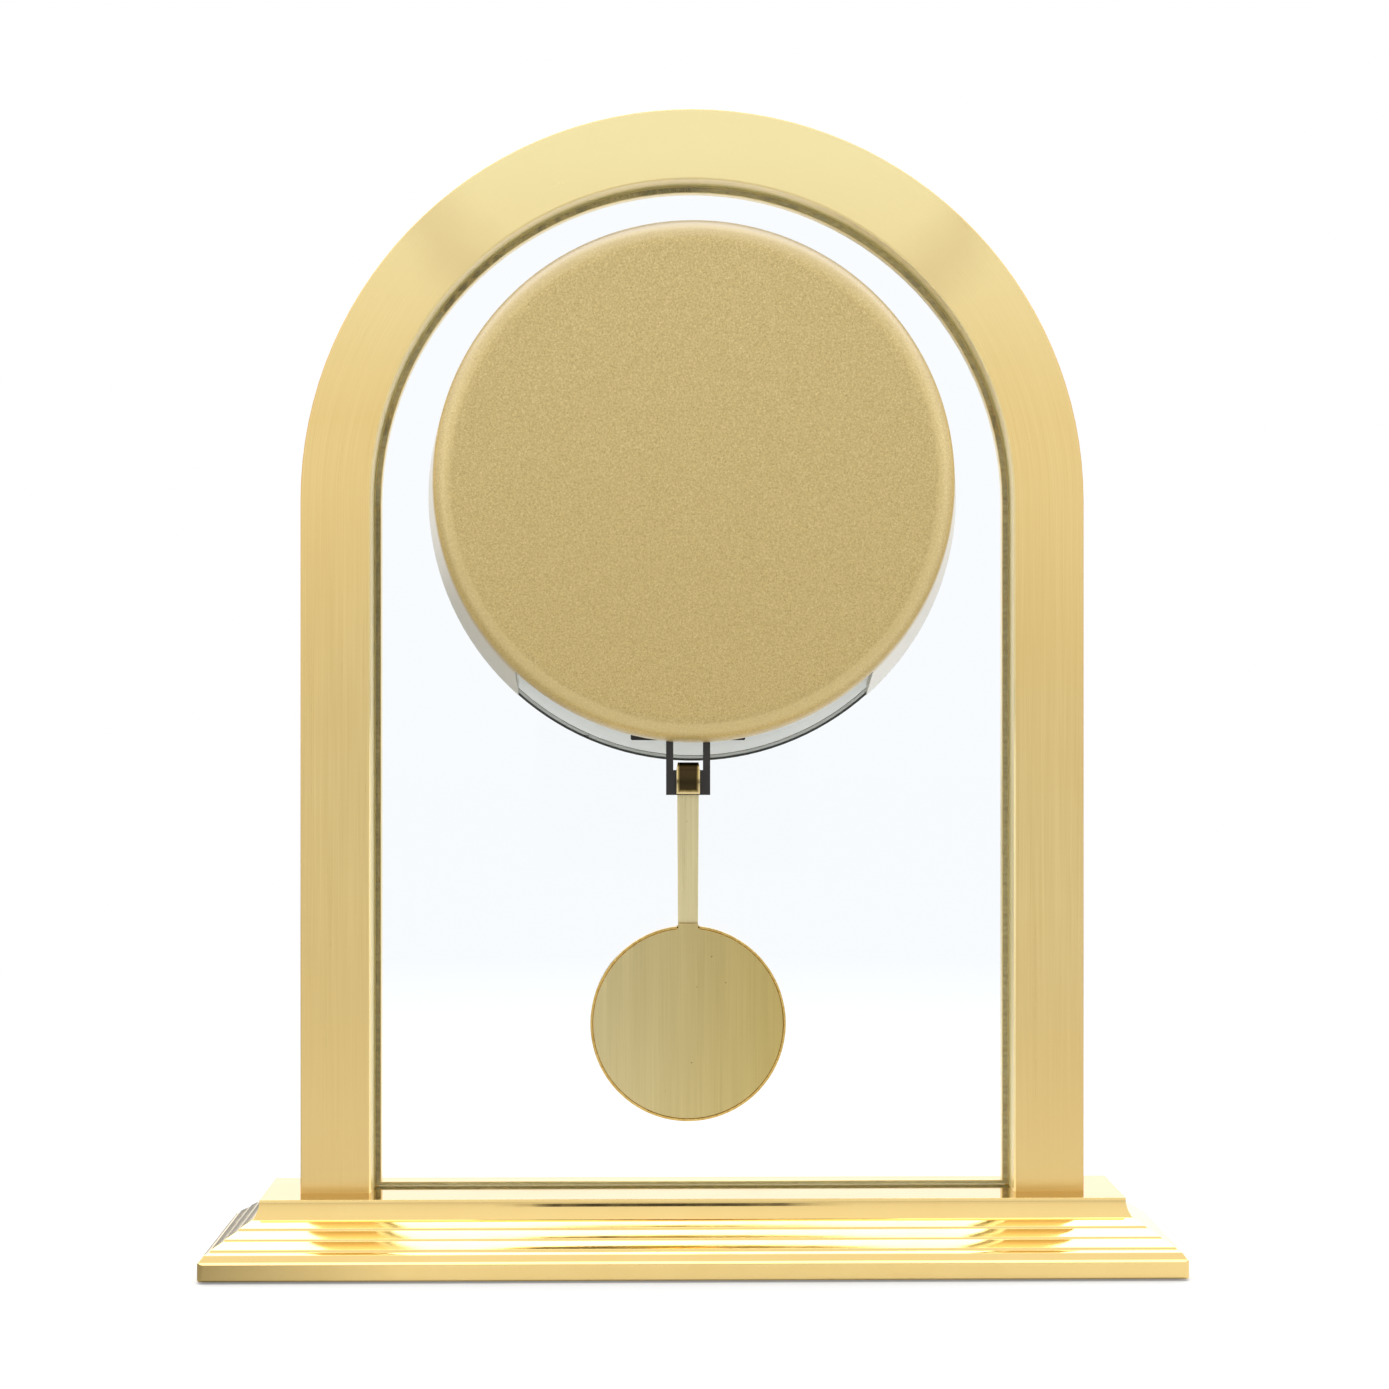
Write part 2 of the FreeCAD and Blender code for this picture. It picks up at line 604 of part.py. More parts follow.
CENTRE_TOOTH = THIRD_ANGLE
THIRD_PINION_TOOTH = meshing(CENTRE_TEETH, THIRD_PINION, THIRD_ANGLE, CENTRE_TOOTH)
SECONDS_PINION_TOOTH = meshing(THIRD_TEETH, SECONDS_PINION, SECONDS_ANGLE, SECONDS_ANGLE)
INTER_PINION_TOOTH = meshing(SECONDS_TEETH, INTER_PINION, INTER_ANGLE, INTER_ANGLE)
ROTOR_TOOTH = meshing(INTER_TEETH, ROTOR_PINION, ROTOR_ANGLE, ROTOR_ANGLE)


def centre_wheel():
    """Driven wheel that grips the minute arbor by friction."""
    wheel = gear(CENTRE_TEETH, CENTRE_MODULE, DIAL_AXIS, CENTRE_TOOTH, -9.6, -8.8)
    wheel = wheel.cut(spokes(DIAL_AXIS, 3.0, 7.4, 4, -9.6, -8.8))
    return wheel.cut(rod_y(1.25, -12, -8))


def third_wheel():
    wheel = gear(THIRD_TEETH, FINE_MODULE, THIRD_AXIS, SECONDS_ANGLE, -12.2, -11.4)
    pinion = gear(THIRD_PINION, CENTRE_MODULE, THIRD_AXIS, THIRD_PINION_TOOTH, -11.4, -8.4)
    return wheel_set(THIRD_AXIS, [wheel, pinion])


def seconds_wheel():
    wheel = gear(SECONDS_TEETH, FINE_MODULE, SECONDS_AXIS, INTER_ANGLE, -14.4, -13.6)
    pinion = gear(SECONDS_PINION, FINE_MODULE, SECONDS_AXIS, SECONDS_PINION_TOOTH, -13.6, -11.0)
    return wheel_set(SECONDS_AXIS, [wheel, pinion])


def intermediate_wheel():
    wheel = gear(INTER_TEETH, FINE_MODULE, INTER_AXIS, ROTOR_ANGLE, -10.9, -10.1)
    pinion = gear(INTER_PINION, FINE_MODULE, INTER_AXIS, INTER_PINION_TOOTH, -14.8, -13.2)
    return wheel_set(INTER_AXIS, [wheel, pinion])


def rotor():
    """Magnet rotor with its pinion."""
    magnet = rod_y(2.4, -14.0, -11.5, *ROTOR_AXIS)
    pinion = gear(ROTOR_PINION, FINE_MODULE, ROTOR_AXIS, ROTOR_TOOTH, -11.5, -9.6)
    return wheel_set(ROTOR_AXIS, [magnet, pinion])


MINUTE_WHEEL_TOOTH = meshing(CANNON_TEETH, MINUTE_TEETH, MINUTE_WORK_ANGLE, MINUTE_WORK_ANGLE)
HOUR_TOOTH = meshing(MINUTE_PINION, HOUR_TEETH, MINUTE_WORK_ANGLE + 180, MINUTE_WORK_ANGLE + 180)


def cannon_pinion():
    """Minute arbor with the cannon pinion; carries the minute hand at its front end."""
    pinion = gear(CANNON_TEETH, CANNON_MODULE, DIAL_AXIS, MINUTE_WORK_ANGLE, -8.4, -6.4)
    parts = [rod_y(ARBOR, CASE_REAR + 0.6, -12), rod_y(1.2, -12, -8.4), pinion,
             rod_y(1.78, -6.4, MINUTE_HAND_Y - 0.1), rod_y(1.2, MINUTE_HAND_Y - 0.1, MINUTE_HAND_Y + 1.5)]
    return fused(parts)


def minute_wheel():
    """Wheel and pinion of the motion work, on the setting arbor."""
    wheel = gear(MINUTE_TEETH, CANNON_MODULE, MINUTE_WORK_AXIS, MINUTE_WHEEL_TOOTH, -7.9, -7.0)
    pinion = gear(MINUTE_PINION, HOUR_MODULE, MINUTE_WORK_AXIS, MINUTE_WORK_ANGLE + 180, -7.0, -4.2)
    shaft = rod_y(1.2, CASE_REAR - 0.4, -7.9, *MINUTE_WORK_AXIS)
    front = rod_y(ARBOR, -4.2, CASE_FRONT - 0.6, *MINUTE_WORK_AXIS)
    return fused([shaft, wheel, pinion, front])


def hour_wheel():
    """Hour wheel with the pipe that carries the hour hand."""
    wheel = gear(HOUR_TEETH, HOUR_MODULE, DIAL_AXIS, HOUR_TOOTH, -5.8, -4.6)
    pipe = rod_y(2.58, -5.8, HOUR_HAND_Y + 0.9)
    return fused([wheel, pipe]).cut(rod_y(1.85, -7, HOUR_HAND_Y + 2))


def setting_knob():
    """Knurled knob on the rear end of the setting arbor."""
    x, z = MINUTE_WORK_AXIS
    knob = rod_y(5.0, CASE_REAR - 3.4, CASE_REAR - 0.4, x, z)
    for n in range(24):
        cx, cz = polar(MINUTE_WORK_AXIS, 5.15, 15 * n)
        knob = knob.cut(rod_y(0.4, CASE_REAR - 4, CASE_REAR, cx, cz))
    return knob


# ---- pendulum ----
HOUSING_HALF = 13.7
HOUSING_BOTTOM = 127.7
HOUSING_TOP = DIAL_Z - CASE_HALF - 0.1
HOUSING_REAR = -18.6
HOUSING_FRONT = -6.0
COIL_Z = 138.5


def pendulum_housing():
    """Black box under the movement that holds the drive coil and the hanger's pin."""
    x0, x1 = PENDULUM_X - HOUSING_HALF, PENDULUM_X + HOUSING_HALF
    shell = box(x0, x1, HOUSING_REAR, HOUSING_FRONT, HOUSING_BOTTOM, HOUSING_TOP)
    upright = [e for e in shell.Edges if abs(e.tangentAt(e.FirstParameter).y) > 0.9]
    shell = shell.makeFillet(0.4, upright)
    wall = 1.3
    shell = shell.cut(box(x0 + wall, x1 - wall, HOUSING_REAR + wall, HOUSING_FRONT + 1,
                          HOUSING_BOTTOM + wall, HOUSING_TOP - wall))
    boss = rod_y(3.0, HOUSING_REAR, HOUSING_REAR + 6, PENDULUM_X, PIVOT_Z)
    shell = fused([shell, boss])
    return shell.cut(rod_y(0.82, HOUSING_REAR - 1, HOUSING_REAR + 5, PENDULUM_X, PIVOT_Z))


def hanger_pin():
    """Steel pin with a head that keeps the hanger on."""
    pin = rod_y(0.8, -22.4, HOUSING_REAR + 4.8, PENDULUM_X, PIVOT_Z)
    return fused([pin, rod_y(1.9, -22.4, HANGER_REAR - 0.15, PENDULUM_X, PIVOT_Z)])


def pendulum_coil():
    rear = HOUSING_REAR + 1.4
    return ring_y(7.0, 2.0, rear, rear + 5, PENDULUM_X, COIL_Z)


def hanger_magnet():
    return rod_y(3.4, HANGER_REAR - 0.3, HANGER_FRONT, PENDULUM_X, COIL_Z)


def pendulum_hanger():
    """Moulded hanger: eye, magnet carrier, two legs and the bar that the hook sits on."""
    x, y0, y1 = PENDULUM_X, HANGER_REAR, HANGER_FRONT
    half, leg = 5.25, 1.7
    eye = rod_y(3.2, y0, y1, x, PIVOT_Z)
    stem = box(x - 1.8, x + 1.8, y0, y1, COIL_Z, PIVOT_Z)
    carrier = rod_y(half, y0, y1, x, COIL_Z)
    legs = [box(x - half, x - half + leg, y0, y1, HANGER_BOTTOM, COIL_Z),
            box(x + half - leg, x + half, y0, y1, HANGER_BOTTOM, COIL_Z)]
    bar = box(x - half, x + half, y0, y1, HANGER_BOTTOM, BAR_TOP)
    body = fused([eye, stem, carrier, bar] + legs)
    body = body.cut(rod_y(0.85, y0 - 1, y1 + 1, x, PIVOT_Z))
    return body.cut(rod_y(3.42, y0 - 1, y1 + 1, x, COIL_Z))


HOOK_WIDTH = 5.55
HOOK_TOP = 4.9
STRIP = 0.6
ROD_REAR = -18.65
ROD_FRONT = -18.15


def pendulum_hook():
    """Brass strip bent over the hanger's bar, bulging a little at the rear."""
    middle = (HANGER_REAR + HANGER_FRONT) / 2
    inner = (HANGER_FRONT - HANGER_REAR) / 2 + 0.25
    outer = inner + STRIP

    def side(radius, low):
        back, front = middle - radius, middle + radius
        top = Part.Arc(V(0, back, BAR_TOP), V(0, middle, BAR_TOP + radius), V(0, front, BAR_TOP))
        bulge = Part.Arc(V(0, back, low), V(0, back - 0.5, (low + BAR_TOP) / 2),
                         V(0, back, BAR_TOP))
        return top.toShape(), bulge.toShape(), Part.makeLine(V(0, front, BAR_TOP), V(0, front, low))

    low = HANGER_BOTTOM + 0.25
    edges = list(side(outer, low)) + list(side(inner, low))
    ends = [Part.makeLine(V(0, middle + outer, low), V(0, middle + inner, low)),
            Part.makeLine(V(0, middle - outer, low), V(0, middle - inner, low))]
    wire = Part.Wire(Part.__sortEdges__(edges + ends))
    strip = Part.Face(wire).extrude(V(HOOK_WIDTH, 0, 0))
    strip.translate(V(PENDULUM_X - HOOK_WIDTH / 2, 0, 0))
    x, half, top = PENDULUM_X, HOOK_WIDTH / 2, BAR_TOP + outer + 0.1
    outline = [(x - half, low), (x + half, low), (x + half, BAR_TOP), (x + HOOK_TOP / 2, top),
               (x - HOOK_TOP / 2, top), (x - half, BAR_TOP)]
    return strip.common(prism_y(outline, HANGER_REAR - 3, HANGER_FRONT + 3))


def pendulum_rod():
    """Flat strip, narrowing a little towards the bob."""
    x, top, low = PENDULUM_X, 119.5, BOB_Z + BOB_RADIUS - 8
    outline = [(x - 2.6, top), (x + 2.6, top), (x + 2.35, low), (x - 2.35, low)]
    return prism_y(outline, ROD_REAR, ROD_FRONT)


BOB_REAR = -20.9
TAB_HALF = 2.4


def bob_shell():
    """Front of the bob: a shallow dish with a straight rim, notched at the top for rod and tab."""
    rim_front, rise, thick, radius = BOB_REAR + 3.2, 1.4, 0.5, BOB_RADIUS
    points = [(radius - thick, BOB_REAR), (radius, BOB_REAR), (radius, rim_front)]
    steps = 8
    dome = [(radius * (1 - n / steps), rim_front + rise * math.sin(math.pi / 2 * n / steps))
            for n in range(1, steps + 1)]
    inner = [(max(r - thick, 0), y - thick) for r, y in reversed([(radius, rim_front)] + dome)]
    shell = turned_y(points + dome + [inner[0]] + inner[2:], PENDULUM_X, BOB_Z)
    slot = box(PENDULUM_X - 2.7, PENDULUM_X + 2.7, BOB_REAR - 0.1, ROD_FRONT + 0.1,
               BOB_Z + BOB_RADIUS - 4, BOB_Z + BOB_RADIUS + 1)
    return shell.cut(slot)


def bob_back():
    """Flat rear disc of the bob with a chamfered edge and a small tab at the top."""
    rear, front = BOB_REAR + 0.05, BOB_REAR + 0.85
    disc = rod_y(BOB_RADIUS - 0.52, rear, front, PENDULUM_X, BOB_Z)
    disc = disc.makeChamfer(0.2, [e for e in disc.Edges if e.BoundBox.YMax < BOB_REAR + 0.1])
    tab = box(PENDULUM_X - TAB_HALF, PENDULUM_X + TAB_HALF, rear, front,
              BOB_Z + BOB_RADIUS - 2, BOB_Z + BOB_RADIUS + 0.45)
    return fused([disc, tab])


NODES = {
    "base_plinth": base_plinth, "base_plate": base_plate, "base_felt": base_felt,
    "base_plate_screws": base_plate_screws, "arch_fixing_screws": arch_fixing_screws,
    "arch_frame": arch_frame, "glass_pane": glass_pane, "glass_bedding_tape": glass_bedding_tape,
    "rear_cover": rear_cover, "cover_ring": cover_ring, "dial_plate": dial_plate,
    "dial_seal": dial_seal, "dial_bezel": dial_bezel, "dial_lens": dial_lens,
    "hour_markers": hour_markers, "hour_hand": hour_hand, "minute_hand": minute_hand,
    "hand_nut": hand_nut, "movement_front_case": movement_front_case,
    "movement_rear_case": movement_rear_case, "case_screws": case_screws,
    "case_pillars": case_pillars, "fixing_washer": fixing_washer, "fixing_nut": fixing_nut,
    "nut_washer": nut_washer, "battery": battery, "battery_contacts": battery_contacts,
    "circuit_board": circuit_board, "quartz_crystal": quartz_crystal, "motor_coil": motor_coil,
    "motor_stator": motor_stator, "rotor": rotor, "intermediate_wheel": intermediate_wheel,
    "seconds_wheel": seconds_wheel, "third_wheel": third_wheel, "centre_wheel": centre_wheel,
    "cannon_pinion": cannon_pinion, "minute_wheel": minute_wheel, "hour_wheel": hour_wheel,
    "setting_knob": setting_knob, "pendulum_housing": pendulum_housing, "hanger_pin": hanger_pin,
    "pendulum_coil": pendulum_coil, "hanger_magnet": hanger_magnet,
    "pendulum_hanger": pendulum_hanger, "pendulum_hook": pendulum_hook,
    "pendulum_rod": pendulum_rod, "bob_shell": bob_shell, "bob_back": bob_back,
}

os.makedirs("parts", exist_ok=True)
for node, make in NODES.items():
    save(node, make())
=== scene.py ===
import json
import math

import bmesh
import bpy
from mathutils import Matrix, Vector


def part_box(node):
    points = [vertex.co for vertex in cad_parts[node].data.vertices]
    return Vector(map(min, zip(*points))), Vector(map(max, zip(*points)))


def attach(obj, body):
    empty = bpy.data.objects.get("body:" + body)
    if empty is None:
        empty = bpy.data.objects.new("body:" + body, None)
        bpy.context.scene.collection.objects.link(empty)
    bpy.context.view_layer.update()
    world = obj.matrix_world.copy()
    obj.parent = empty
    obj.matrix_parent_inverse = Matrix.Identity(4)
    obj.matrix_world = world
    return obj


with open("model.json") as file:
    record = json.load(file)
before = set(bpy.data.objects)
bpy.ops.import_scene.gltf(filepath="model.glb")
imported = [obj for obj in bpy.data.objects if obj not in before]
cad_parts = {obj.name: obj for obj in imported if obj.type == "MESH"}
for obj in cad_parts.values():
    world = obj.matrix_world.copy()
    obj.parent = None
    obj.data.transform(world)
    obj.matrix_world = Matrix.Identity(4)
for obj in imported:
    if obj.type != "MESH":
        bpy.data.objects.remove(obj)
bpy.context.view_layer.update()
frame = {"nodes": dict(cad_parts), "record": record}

# Brass arch mantel clock seen from behind: finishes, printed dial, studio and camera around the CAD frame.
# Metres throughout. +Z is up, the rear of the clock faces -Y and the dial faces +Y.

MM = 0.001
IMAGE_WIDTH = 1389.0
WHITE = (1.0, 1.0, 1.0, 1.0)


# ---- places taken from the frame ----
def middle(node):
    """The centre of a node's box."""
    low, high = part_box(node)
    return [(a + b) / 2 for a, b in zip(low, high)]


ARCH_LOW, ARCH_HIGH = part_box("arch_frame")
ARCH_RADIUS = (ARCH_HIGH[0] - ARCH_LOW[0]) / 2
SPRING_LINE = ARCH_HIGH[2] - ARCH_RADIUS
DIAL_CENTRE = middle("dial_plate")
DIAL_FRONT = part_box("dial_plate")[1][1]
SEAL_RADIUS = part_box("dial_seal")[1][0] - DIAL_CENTRE[0]
COVER_LOW, COVER_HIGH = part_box("rear_cover")
HOOK_LOW, HOOK_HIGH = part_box("pendulum_hook")
BOB_LOW, BOB_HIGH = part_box("bob_shell")
BOB_CENTRE = middle("bob_shell")
BATTERY_LOW, BATTERY_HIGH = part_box("battery")
SILL_INSET = 18.0 * MM
SILL_HEIGHT = 0.75 * MM
SEAL_LIP_INNER = SEAL_RADIUS - 0.65 * MM
SEAL_LIP_OUTER = SEAL_RADIUS - 0.5 * MM


# ---- node graphs ----
def tone(red, green, blue):
    """A display colour, 0 to 255, as the linear colour that shaders use."""
    linear = []
    for level in (red, green, blue):
        c = level / 255
        linear.append(c / 12.92 if c <= 0.04045 else ((c + 0.055) / 1.055) ** 2.4)
    return (*linear, 1.0)


class Graph:
    """Builds one node tree. A number, a colour or another node's output can feed any input."""

    def __init__(self, tree):
        self.tree = tree
        self.tree.nodes.clear()

    def add(self, kind, inputs=None, **settings):
        """A new node with its inputs and settings filled in."""
        node = self.tree.nodes.new(kind)
        for key, value in settings.items():
            setattr(node, key, value)
        for key, value in (inputs or {}).items():
            if isinstance(value, bpy.types.NodeSocket):
                self.tree.links.new(value, node.inputs[key])
            else:
                node.inputs[key].default_value = value
        return node

    def math(self, operation, a, b=0.0):
        """One sum, product or comparison."""
        return self.add("ShaderNodeMath", {0: a, 1: b}, operation=operation).outputs[0]

    def times(self, vector, factors):
        """A vector stretched along each axis."""
        node = self.add("ShaderNodeVectorMath", {0: vector, 1: factors}, operation="MULTIPLY")
        return node.outputs[0]

    def place(self):
        """Position in metres, which moves with the piece."""
        return self.add("ShaderNodeTexCoord").outputs["Object"]

    def axes(self, vector=None):
        """The three parts of a vector, or of the position."""
        node = self.add("ShaderNodeSeparateXYZ", {0: vector or self.place()})
        return node.outputs[0], node.outputs[1], node.outputs[2]

    def join(self, x, y, z):
        """A vector from its three parts."""
        return self.add("ShaderNodeCombineXYZ", {0: x, 1: y, 2: z}).outputs[0]

    def noise(self, where, scale=1.0, detail=2.0, roughness=0.5):
        """Soft random variation around a half."""
        inputs = {"Vector": where, "Scale": scale, "Detail": detail, "Roughness": roughness}
        return self.add("ShaderNodeTexNoise", inputs).outputs["Fac"]

    def cells(self, where, scale):
        """Distance to the nearest of many scattered points."""
        inputs = {"Vector": where, "Scale": scale}
        return self.add("ShaderNodeTexVoronoi", inputs, feature="F1").outputs["Distance"]

    def ramp(self, value, stops, smooth=False):
        """A colour picked by value from (position, colour) stops."""
        node = self.add("ShaderNodeValToRGB", {0: value})
        band = node.color_ramp
        band.interpolation = "EASE" if smooth else "LINEAR"
        while len(band.elements) < len(stops):
            band.elements.new(1.0)
        for element, (position, colour) in zip(band.elements, stops):
            element.position = position
            element.color = colour
        return node.outputs[0]

    def levels(self, value, stops, smooth=False):
        """A number picked by value from (position, number) stops."""
        grey = [(position, (level, level, level, 1.0)) for position, level in stops]
        return self.ramp(value, grey, smooth)

    def fit(self, value, low, high, to_low, to_high):
        """A number moved from one range to another and held inside it."""
        inputs = {0: value, 1: low, 2: high, 3: to_low, 4: to_high}
        return self.add("ShaderNodeMapRange", inputs).outputs[0]

    def blend(self, factor, a, b, mode="MIX"):
        """Colour a turning into colour b as the factor goes from 0 to 1."""
        node = self.add("ShaderNodeMix", {0: factor, 6: a, 7: b}, data_type="RGBA", blend_type=mode)
        return node.outputs[2]

    def rounded(self, radius):
        """Normals as if every edge had this radius."""
        return self.add("ShaderNodeBevel", {0: radius}, samples=4).outputs[0]

    def bump(self, height, distance, strength=1.0, normal=None):
        """Normals of a fine relief."""
        inputs = {"Height": height, "Distance": distance, "Strength": strength}
        if normal is not None:
            inputs["Normal"] = normal
        return self.add("ShaderNodeBump", inputs).outputs[0]

    def camera_ray(self):
        """1 where the camera looks straight at the surface."""
        return self.add("ShaderNodeLightPath").outputs["Is Camera Ray"]

    def glossy_ray(self):
        """1 where the surface is seen in a reflection."""
        return self.add("ShaderNodeLightPath").outputs["Is Glossy Ray"]

    def normal(self):
        """Smooth surface normal."""
        return self.add("ShaderNodeNewGeometry").outputs["Normal"]

    def flat_normal(self):
        """Normal of the mesh face itself."""
        return self.add("ShaderNodeNewGeometry").outputs["True Normal"]

    def diagonal(self, a, b):
        """The length of the diagonal with sides a and b."""
        total = self.math("ADD", self.math("MULTIPLY", a, a), self.math("MULTIPLY", b, b))
        return self.math("SQRT", total)


MATERIALS = {}


def material(name):
    """Decorator: builds the named material from the surface that the function returns."""
    def build(function):
        made = bpy.data.materials.new(name)
        made.use_nodes = True
        graph = Graph(made.node_tree)
        surface = function(graph)
        graph.add("ShaderNodeOutputMaterial", {"Surface": surface})
        MATERIALS[name] = made
        return function
    return build


def principled(g, colour, metallic, roughness, normal, **more):
    """The general surface; further inputs are named with underscores for spaces."""
    inputs = {"Base Color": colour, "Metallic": metallic, "Roughness": roughness, "Normal": normal}
    for key, value in more.items():
        inputs[key.replace("_", " ")] = value
    return g.add("ShaderNodeBsdfPrincipled", inputs).outputs[0]


def from_centre(g, centre):
    """Distances across and up from a centre."""
    x, _, z = g.axes()
    return g.math("SUBTRACT", x, centre[0]), g.math("SUBTRACT", z, centre[2])


# ---- metals ----
# keeps the direction across the bar defined on the centre line
OUTWARD_DEPTH = 0.03


def arch_ways(g):
    """Distance across the arch's bar, distance along it, depth, and the direction across it."""
    x, y, z = g.axes()
    over = g.math("SUBTRACT", z, SPRING_LINE)
    above = g.math("MAXIMUM", over, 0.0)
    below = g.math("MINIMUM", over, 0.0)
    across = g.diagonal(x, above)
    bend = g.math("MULTIPLY", g.math("ARCTAN2", above, x), ARCH_RADIUS)
    leg = g.math("MULTIPLY", g.math("SIGN", x), below)
    along = g.math("ADD", bend, leg)
    outward = g.add("ShaderNodeVectorMath", {0: g.join(x, OUTWARD_DEPTH, above)}, operation="NORMALIZE")
    return across, along, y, outward.outputs[0]


def arch_streaks(g, across, along, y):
    """Fine and broad brushing lines along the bar."""
    fine = g.noise(g.times(g.join(across, y, along), (3600.0, 3600.0, 26.0)), detail=3.0)
    broad = g.noise(g.times(g.join(across, y, along), (620.0, 620.0, 7.0)), detail=2.0)
    return g.math("ADD", g.math("MULTIPLY", fine, 0.78), g.math("MULTIPLY", broad, 0.22))


def arch_tones(g, streaks):
    """Golden legs, with a painted highlight that pales the top of the arch and painted shade that dulls
    the shoulders and feet.
    """
    x, _, z = g.axes()
    cloud = g.noise(g.place(), 17.0, 3.0)
    colour = g.ramp(streaks, [(0.3, tone(240, 209, 137)), (0.7, tone(251, 223, 154))])
    colour = g.blend(g.fit(cloud, 0.35, 0.7, 0.0, 0.4), colour, tone(240, 203, 122))
    # painted highlight: paler towards the top of the arch
    crown_highlight = g.fit(z, SPRING_LINE + 20 * MM, ARCH_HIGH[2] - 10 * MM, 0.0, 1.0)
    colour = g.blend(crown_highlight, colour, tone(255, 239, 177))
    # painted shade: darker towards the feet
    foot = g.fit(z, ARCH_LOW[2] + 10 * MM, ARCH_LOW[2] + 70 * MM, 0.7, 0.0)
    colour = g.blend(foot, colour, tone(222, 190, 122))
    # painted shade: darker bands across the two shoulders
    off = g.math("SUBTRACT", g.math("ABSOLUTE", x), g.math("SUBTRACT", z, SPRING_LINE))
    off = g.math("ADD", off, g.fit(cloud, 0.3, 0.7, -0.012, 0.012))
    shoulder_shade = g.levels(g.math("ABSOLUTE", off), [(0.0, 0.45), (0.022, 0.0)], smooth=True)
    return g.blend(shoulder_shade, colour, tone(226, 198, 138))


def arch_faces(g, colour, outward):
    """Painted light and shade by face: painted shade on the chamfers and where the outer edge faces up, a
    painted paler inner edge and a painted reflection along the bottom between the legs; also how metallic
    each place is.
    """
    x, _, z = g.axes()
    facing = g.flat_normal()
    turned = g.math("ABSOLUTE", g.axes(facing)[1])
    # painted shade: the chamfers are darker orange in place of their bright reflection
    chamfer_shade = g.levels(turned, [(0.25, 0.0), (0.35, 1.0), (0.9, 1.0), (0.97, 0.0)])
    colour = g.blend(chamfer_shade, colour, tone(196, 150, 78))
    way = g.add("ShaderNodeVectorMath", {0: facing, 1: outward}, operation="DOT_PRODUCT").outputs["Value"]
    inside = g.fit(way, -0.9, -0.6, 1.0, 0.0)
    outside = g.fit(way, 0.6, 0.9, 0.0, 1.0)
    # painted shade: the outer edge is darker where it faces up
    shade = g.blend(g.fit(g.axes(facing)[2], 0.0, 0.8, 0.0, 1.0), tone(224, 193, 126), tone(168, 140, 84))
    colour = g.blend(outside, colour, shade)
    # painted light: the inner edge is paler, as if better lit
    colour = g.blend(inside, colour, tone(252, 232, 172))
    # painted reflection: a near-white strip along the bottom between the legs, as if mirroring the white
    # backdrop
    between = g.math("LESS_THAN", g.math("ABSOLUTE", x), ARCH_RADIUS - SILL_INSET)
    sill_reflection = g.math("MULTIPLY", g.math("LESS_THAN", z, ARCH_LOW[2] + SILL_HEIGHT), between)
    colour = g.blend(sill_reflection, colour, tone(255, 252, 240))
    return colour, g.fit(g.math("MAXIMUM", inside, sill_reflection), 0.0, 1.0, 1.0, 0.4)


@material("brushed_brass")
def brushed_brass(g):
    """Lacquered sheet brass, brushed along the bar of the arch, with painted shade that turns it deeper
    gold where it is seen in reflections.
    """
    across, along, y, outward = arch_ways(g)
    streaks = arch_streaks(g, across, along, y)
    colour, metallic = arch_faces(g, arch_tones(g, streaks), outward)
    # painted shade: darker, deeper gold only where the arch is seen in a reflection
    mirrored = g.math("SUBTRACT", 1.0, g.camera_ray())
    colour = g.blend(g.math("MULTIPLY", mirrored, 0.25), colour, tone(170, 130, 70))
    roughness = g.fit(streaks, 0.3, 0.7, 0.27, 0.37)
    normal = g.bump(streaks, 0.00002, 0.3, g.rounded(0.06 * MM))
    lacquer = g.math("MULTIPLY", g.camera_ray(), 0.5)
    return principled(g, colour, metallic, roughness, normal, Anisotropic=0.7, Tangent=outward,
                      Coat_Weight=lacquer, Coat_Roughness=0.3)


@material("polished_brass")
def polished_brass(g):
    """Mirror-polished brass with faint handling marks under lacquer."""
    smudge = g.noise(g.place(), 55.0, 4.0, 0.6)
    dust = g.cells(g.place(), 1700.0)
    colour = g.blend(smudge, tone(243, 214, 146), tone(236, 203, 130))
    roughness = g.fit(smudge, 0.4, 0.75, 0.055, 0.16)
    ripple = g.noise(g.place(), 120.0, 1.0)
    normal = g.bump(ripple, 0.00004, 0.25, g.rounded(0.14 * MM))
    normal = g.bump(g.math("LESS_THAN", dust, 0.06), 0.00001, 0.2, normal)
    return principled(g, colour, 1.0, roughness, normal)


def brushed_upright(g, dull, bright, edge, roughness):
    """Satin metal brushed up and down between two tones, with a few tiny dark marks."""
    grain = g.noise(g.times(g.place(), (3400.0, 3400.0, 36.0)), detail=3.0)
    broad = g.noise(g.times(g.place(), (420.0, 420.0, 9.0)), detail=2.0)
    streaks = g.math("ADD", g.math("MULTIPLY", grain, 0.6), g.math("MULTIPLY", broad, 0.4))
    marks = g.math("LESS_THAN", g.cells(g.place(), 210.0), 0.045)
    colour = g.blend(g.fit(streaks, 0.2, 0.8, 0.0, 1.0), dull, bright)
    colour = g.blend(g.math("MULTIPLY", marks, 0.5), colour, edge)
    normal = g.bump(streaks, 0.00002, 0.3, g.rounded(0.15 * MM))
    rough = g.fit(streaks, 0.3, 0.7, roughness - 0.04, roughness + 0.05)
    return principled(g, colour, 1.0, rough, normal, Anisotropic=0.55, Tangent=(1.0, 0.05, 0.0))


@material("satin_bob_brass")
def satin_bob_brass(g):
    """Back of the bob, yellower to the right."""
    right = g.fit(g.axes()[0], BOB_LOW[0], BOB_HIGH[0], 0.0, 1.0)
    dull = g.blend(right, tone(208, 190, 138), tone(194, 171, 102))
    bright = g.blend(right, tone(228, 211, 158), tone(214, 192, 122))
    return brushed_upright(g, dull, bright, tone(96, 74, 40), 0.33)


@material("satin_rod_brass")
def satin_rod_brass(g):
    """Pale strip of the pendulum rod."""
    return brushed_upright(g, tone(233, 217, 163), tone(251, 237, 188), tone(96, 80, 56), 0.3)


